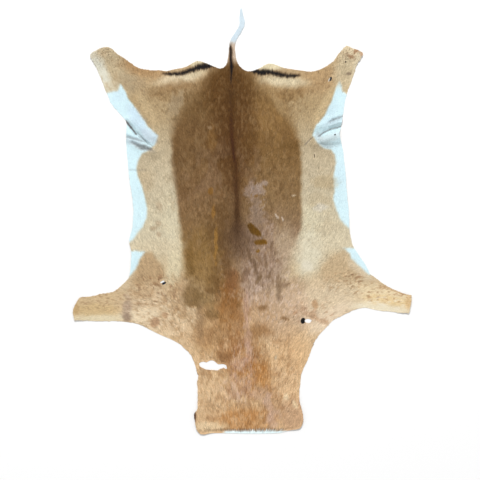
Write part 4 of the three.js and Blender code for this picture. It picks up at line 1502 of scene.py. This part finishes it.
def lock_mesh(name, points, colours, strands):
    first_points = 5 * np.arange(len(points))[:, None, None]
    faces = (LOCK_FACES + first_points).reshape(-1, 3)
    mesh = bpy.data.meshes.new(name)
    mesh.from_pydata(points.reshape(-1, 3), [], faces)
    paint(mesh, colours)
    layer = mesh.attributes.new("strand", "FLOAT_VECTOR", "POINT")
    layer.data.foreach_set("vector", strands.ravel())
    flat = points.reshape(-1, 3)[:, :2]
    low, high = flat.min(0), flat.max(0)
    uv = mesh.uv_layers.new(name="OFBake")
    uv.data.foreach_set("uv", ((flat - low) / (high - low))[faces.ravel()].ravel())
    return mesh


print("a lock's ring lies at", RING_AT, "of its length")

# %% [markdown]
# ## Finish of the hair
# Hair has a soft gloss. The streaks are one noise, stretched along each lock, and they drive
# the tone, the roughness and a slight relief together, as strands in a lock do.

# %% Finish of the hair
STREAK_SCALE = (2.2, 0.12, 1)
STREAK_DETAIL = 2.0
STREAK_TONES = (0.84, 1.16)
HAIR_ROUGHNESS = (0.5, 0.68)
HAIR_SHINE = 0.18
HAIR_SHEEN = 0.04
STREAK_DEPTH = 0.2 * MM
STREAK_STRENGTH = 0.5


def hair_material():
    material, shader, add, link = new_material("impala_hair")
    painted = add("ShaderNodeAttribute")
    painted.attribute_name = "coat"
    strand = add("ShaderNodeAttribute")
    strand.attribute_name = "strand"
    streak_frame = add("ShaderNodeMapping")
    streak_frame.inputs["Scale"].default_value = STREAK_SCALE
    link(strand.outputs["Vector"], streak_frame.inputs["Vector"])
    streaks = grain(add, link, 1.0, STREAK_DETAIL, streak_frame.outputs["Vector"])
    tone = spread(add, link, streaks, *STREAK_TONES)
    link(scaled_colour(add, link, painted.outputs["Color"], tone), shader.inputs["Base Color"])
    link(spread(add, link, streaks, *HAIR_ROUGHNESS), shader.inputs["Roughness"])
    shader.inputs["Specular IOR Level"].default_value = HAIR_SHINE
    shader.inputs["Sheen Weight"].default_value = HAIR_SHEEN
    raised(add, link, shader, streaks, STREAK_DEPTH, STREAK_STRENGTH)
    return material


hair = hair_material()
print("nodes in the hair's finish:", len(hair.node_tree.nodes))

# %% [markdown]
# ## The coat
# The roots are sorted from the neck to the tail and shared out among five meshes, so that none
# of them grows too large.

# %% Coat pieces
REGIONS = ("coat_neck", "coat_shoulders", "coat_back", "coat_loins", "coat_rump")
LOCK_WIDTHS = (1.7 * MM, 2.8 * MM)
TURN_SPREAD = 9
SHORTEST_LOCK = 1.6 * MM


def coat_piece(name, roots, widths, turn_spread):
    points, length = lock_points(roots, widths, turn_spread)
    long_enough = length > SHORTEST_LOCK
    points, length = points[long_enough], length[long_enough]
    mesh = lock_mesh(name, points, lock_colours(points), strand_places(points, length))
    piece = add_object(name, mesh, hair)
    print(name, "locks:", len(points), "triangles:", len(mesh.polygons))
    return piece


hair_pieces = [
    coat_piece(name, part, LOCK_WIDTHS, TURN_SPREAD)
    for name, part in zip(REGIONS, np.array_split(roots, len(REGIONS)))
]

# %% [markdown]
# ## The tail
# The tail's hair is the longest and stands out to both sides, so its brush hides the narrow
# skin under it. It gets a second, denser growth of thinner locks.

# %% Tail
TAIL_FROM = 0.46
TAIL_HALF_WIDTH = 0.045
TAIL_MIDDLE = -0.02
TAIL_SPACING = 1.7 * MM
TAIL_WIDTHS = (1.2 * MM, 2.0 * MM)
TAIL_TURN_SPREAD = 16
tail_roots = scatter(TAIL_SPACING)
on_tail = (tail_roots[:, 1] > TAIL_FROM) & (np.abs(tail_roots[:, 0] - TAIL_MIDDLE) < TAIL_HALF_WIDTH)
print("roots on the tail:", int(on_tail.sum()))
hair_pieces.append(coat_piece("coat_tail", tail_roots[on_tail], TAIL_WIDTHS, TAIL_TURN_SPREAD))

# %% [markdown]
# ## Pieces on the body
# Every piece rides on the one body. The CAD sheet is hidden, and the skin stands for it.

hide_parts("hide")
for piece in (skin, *hair_pieces):
    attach(piece, "root")
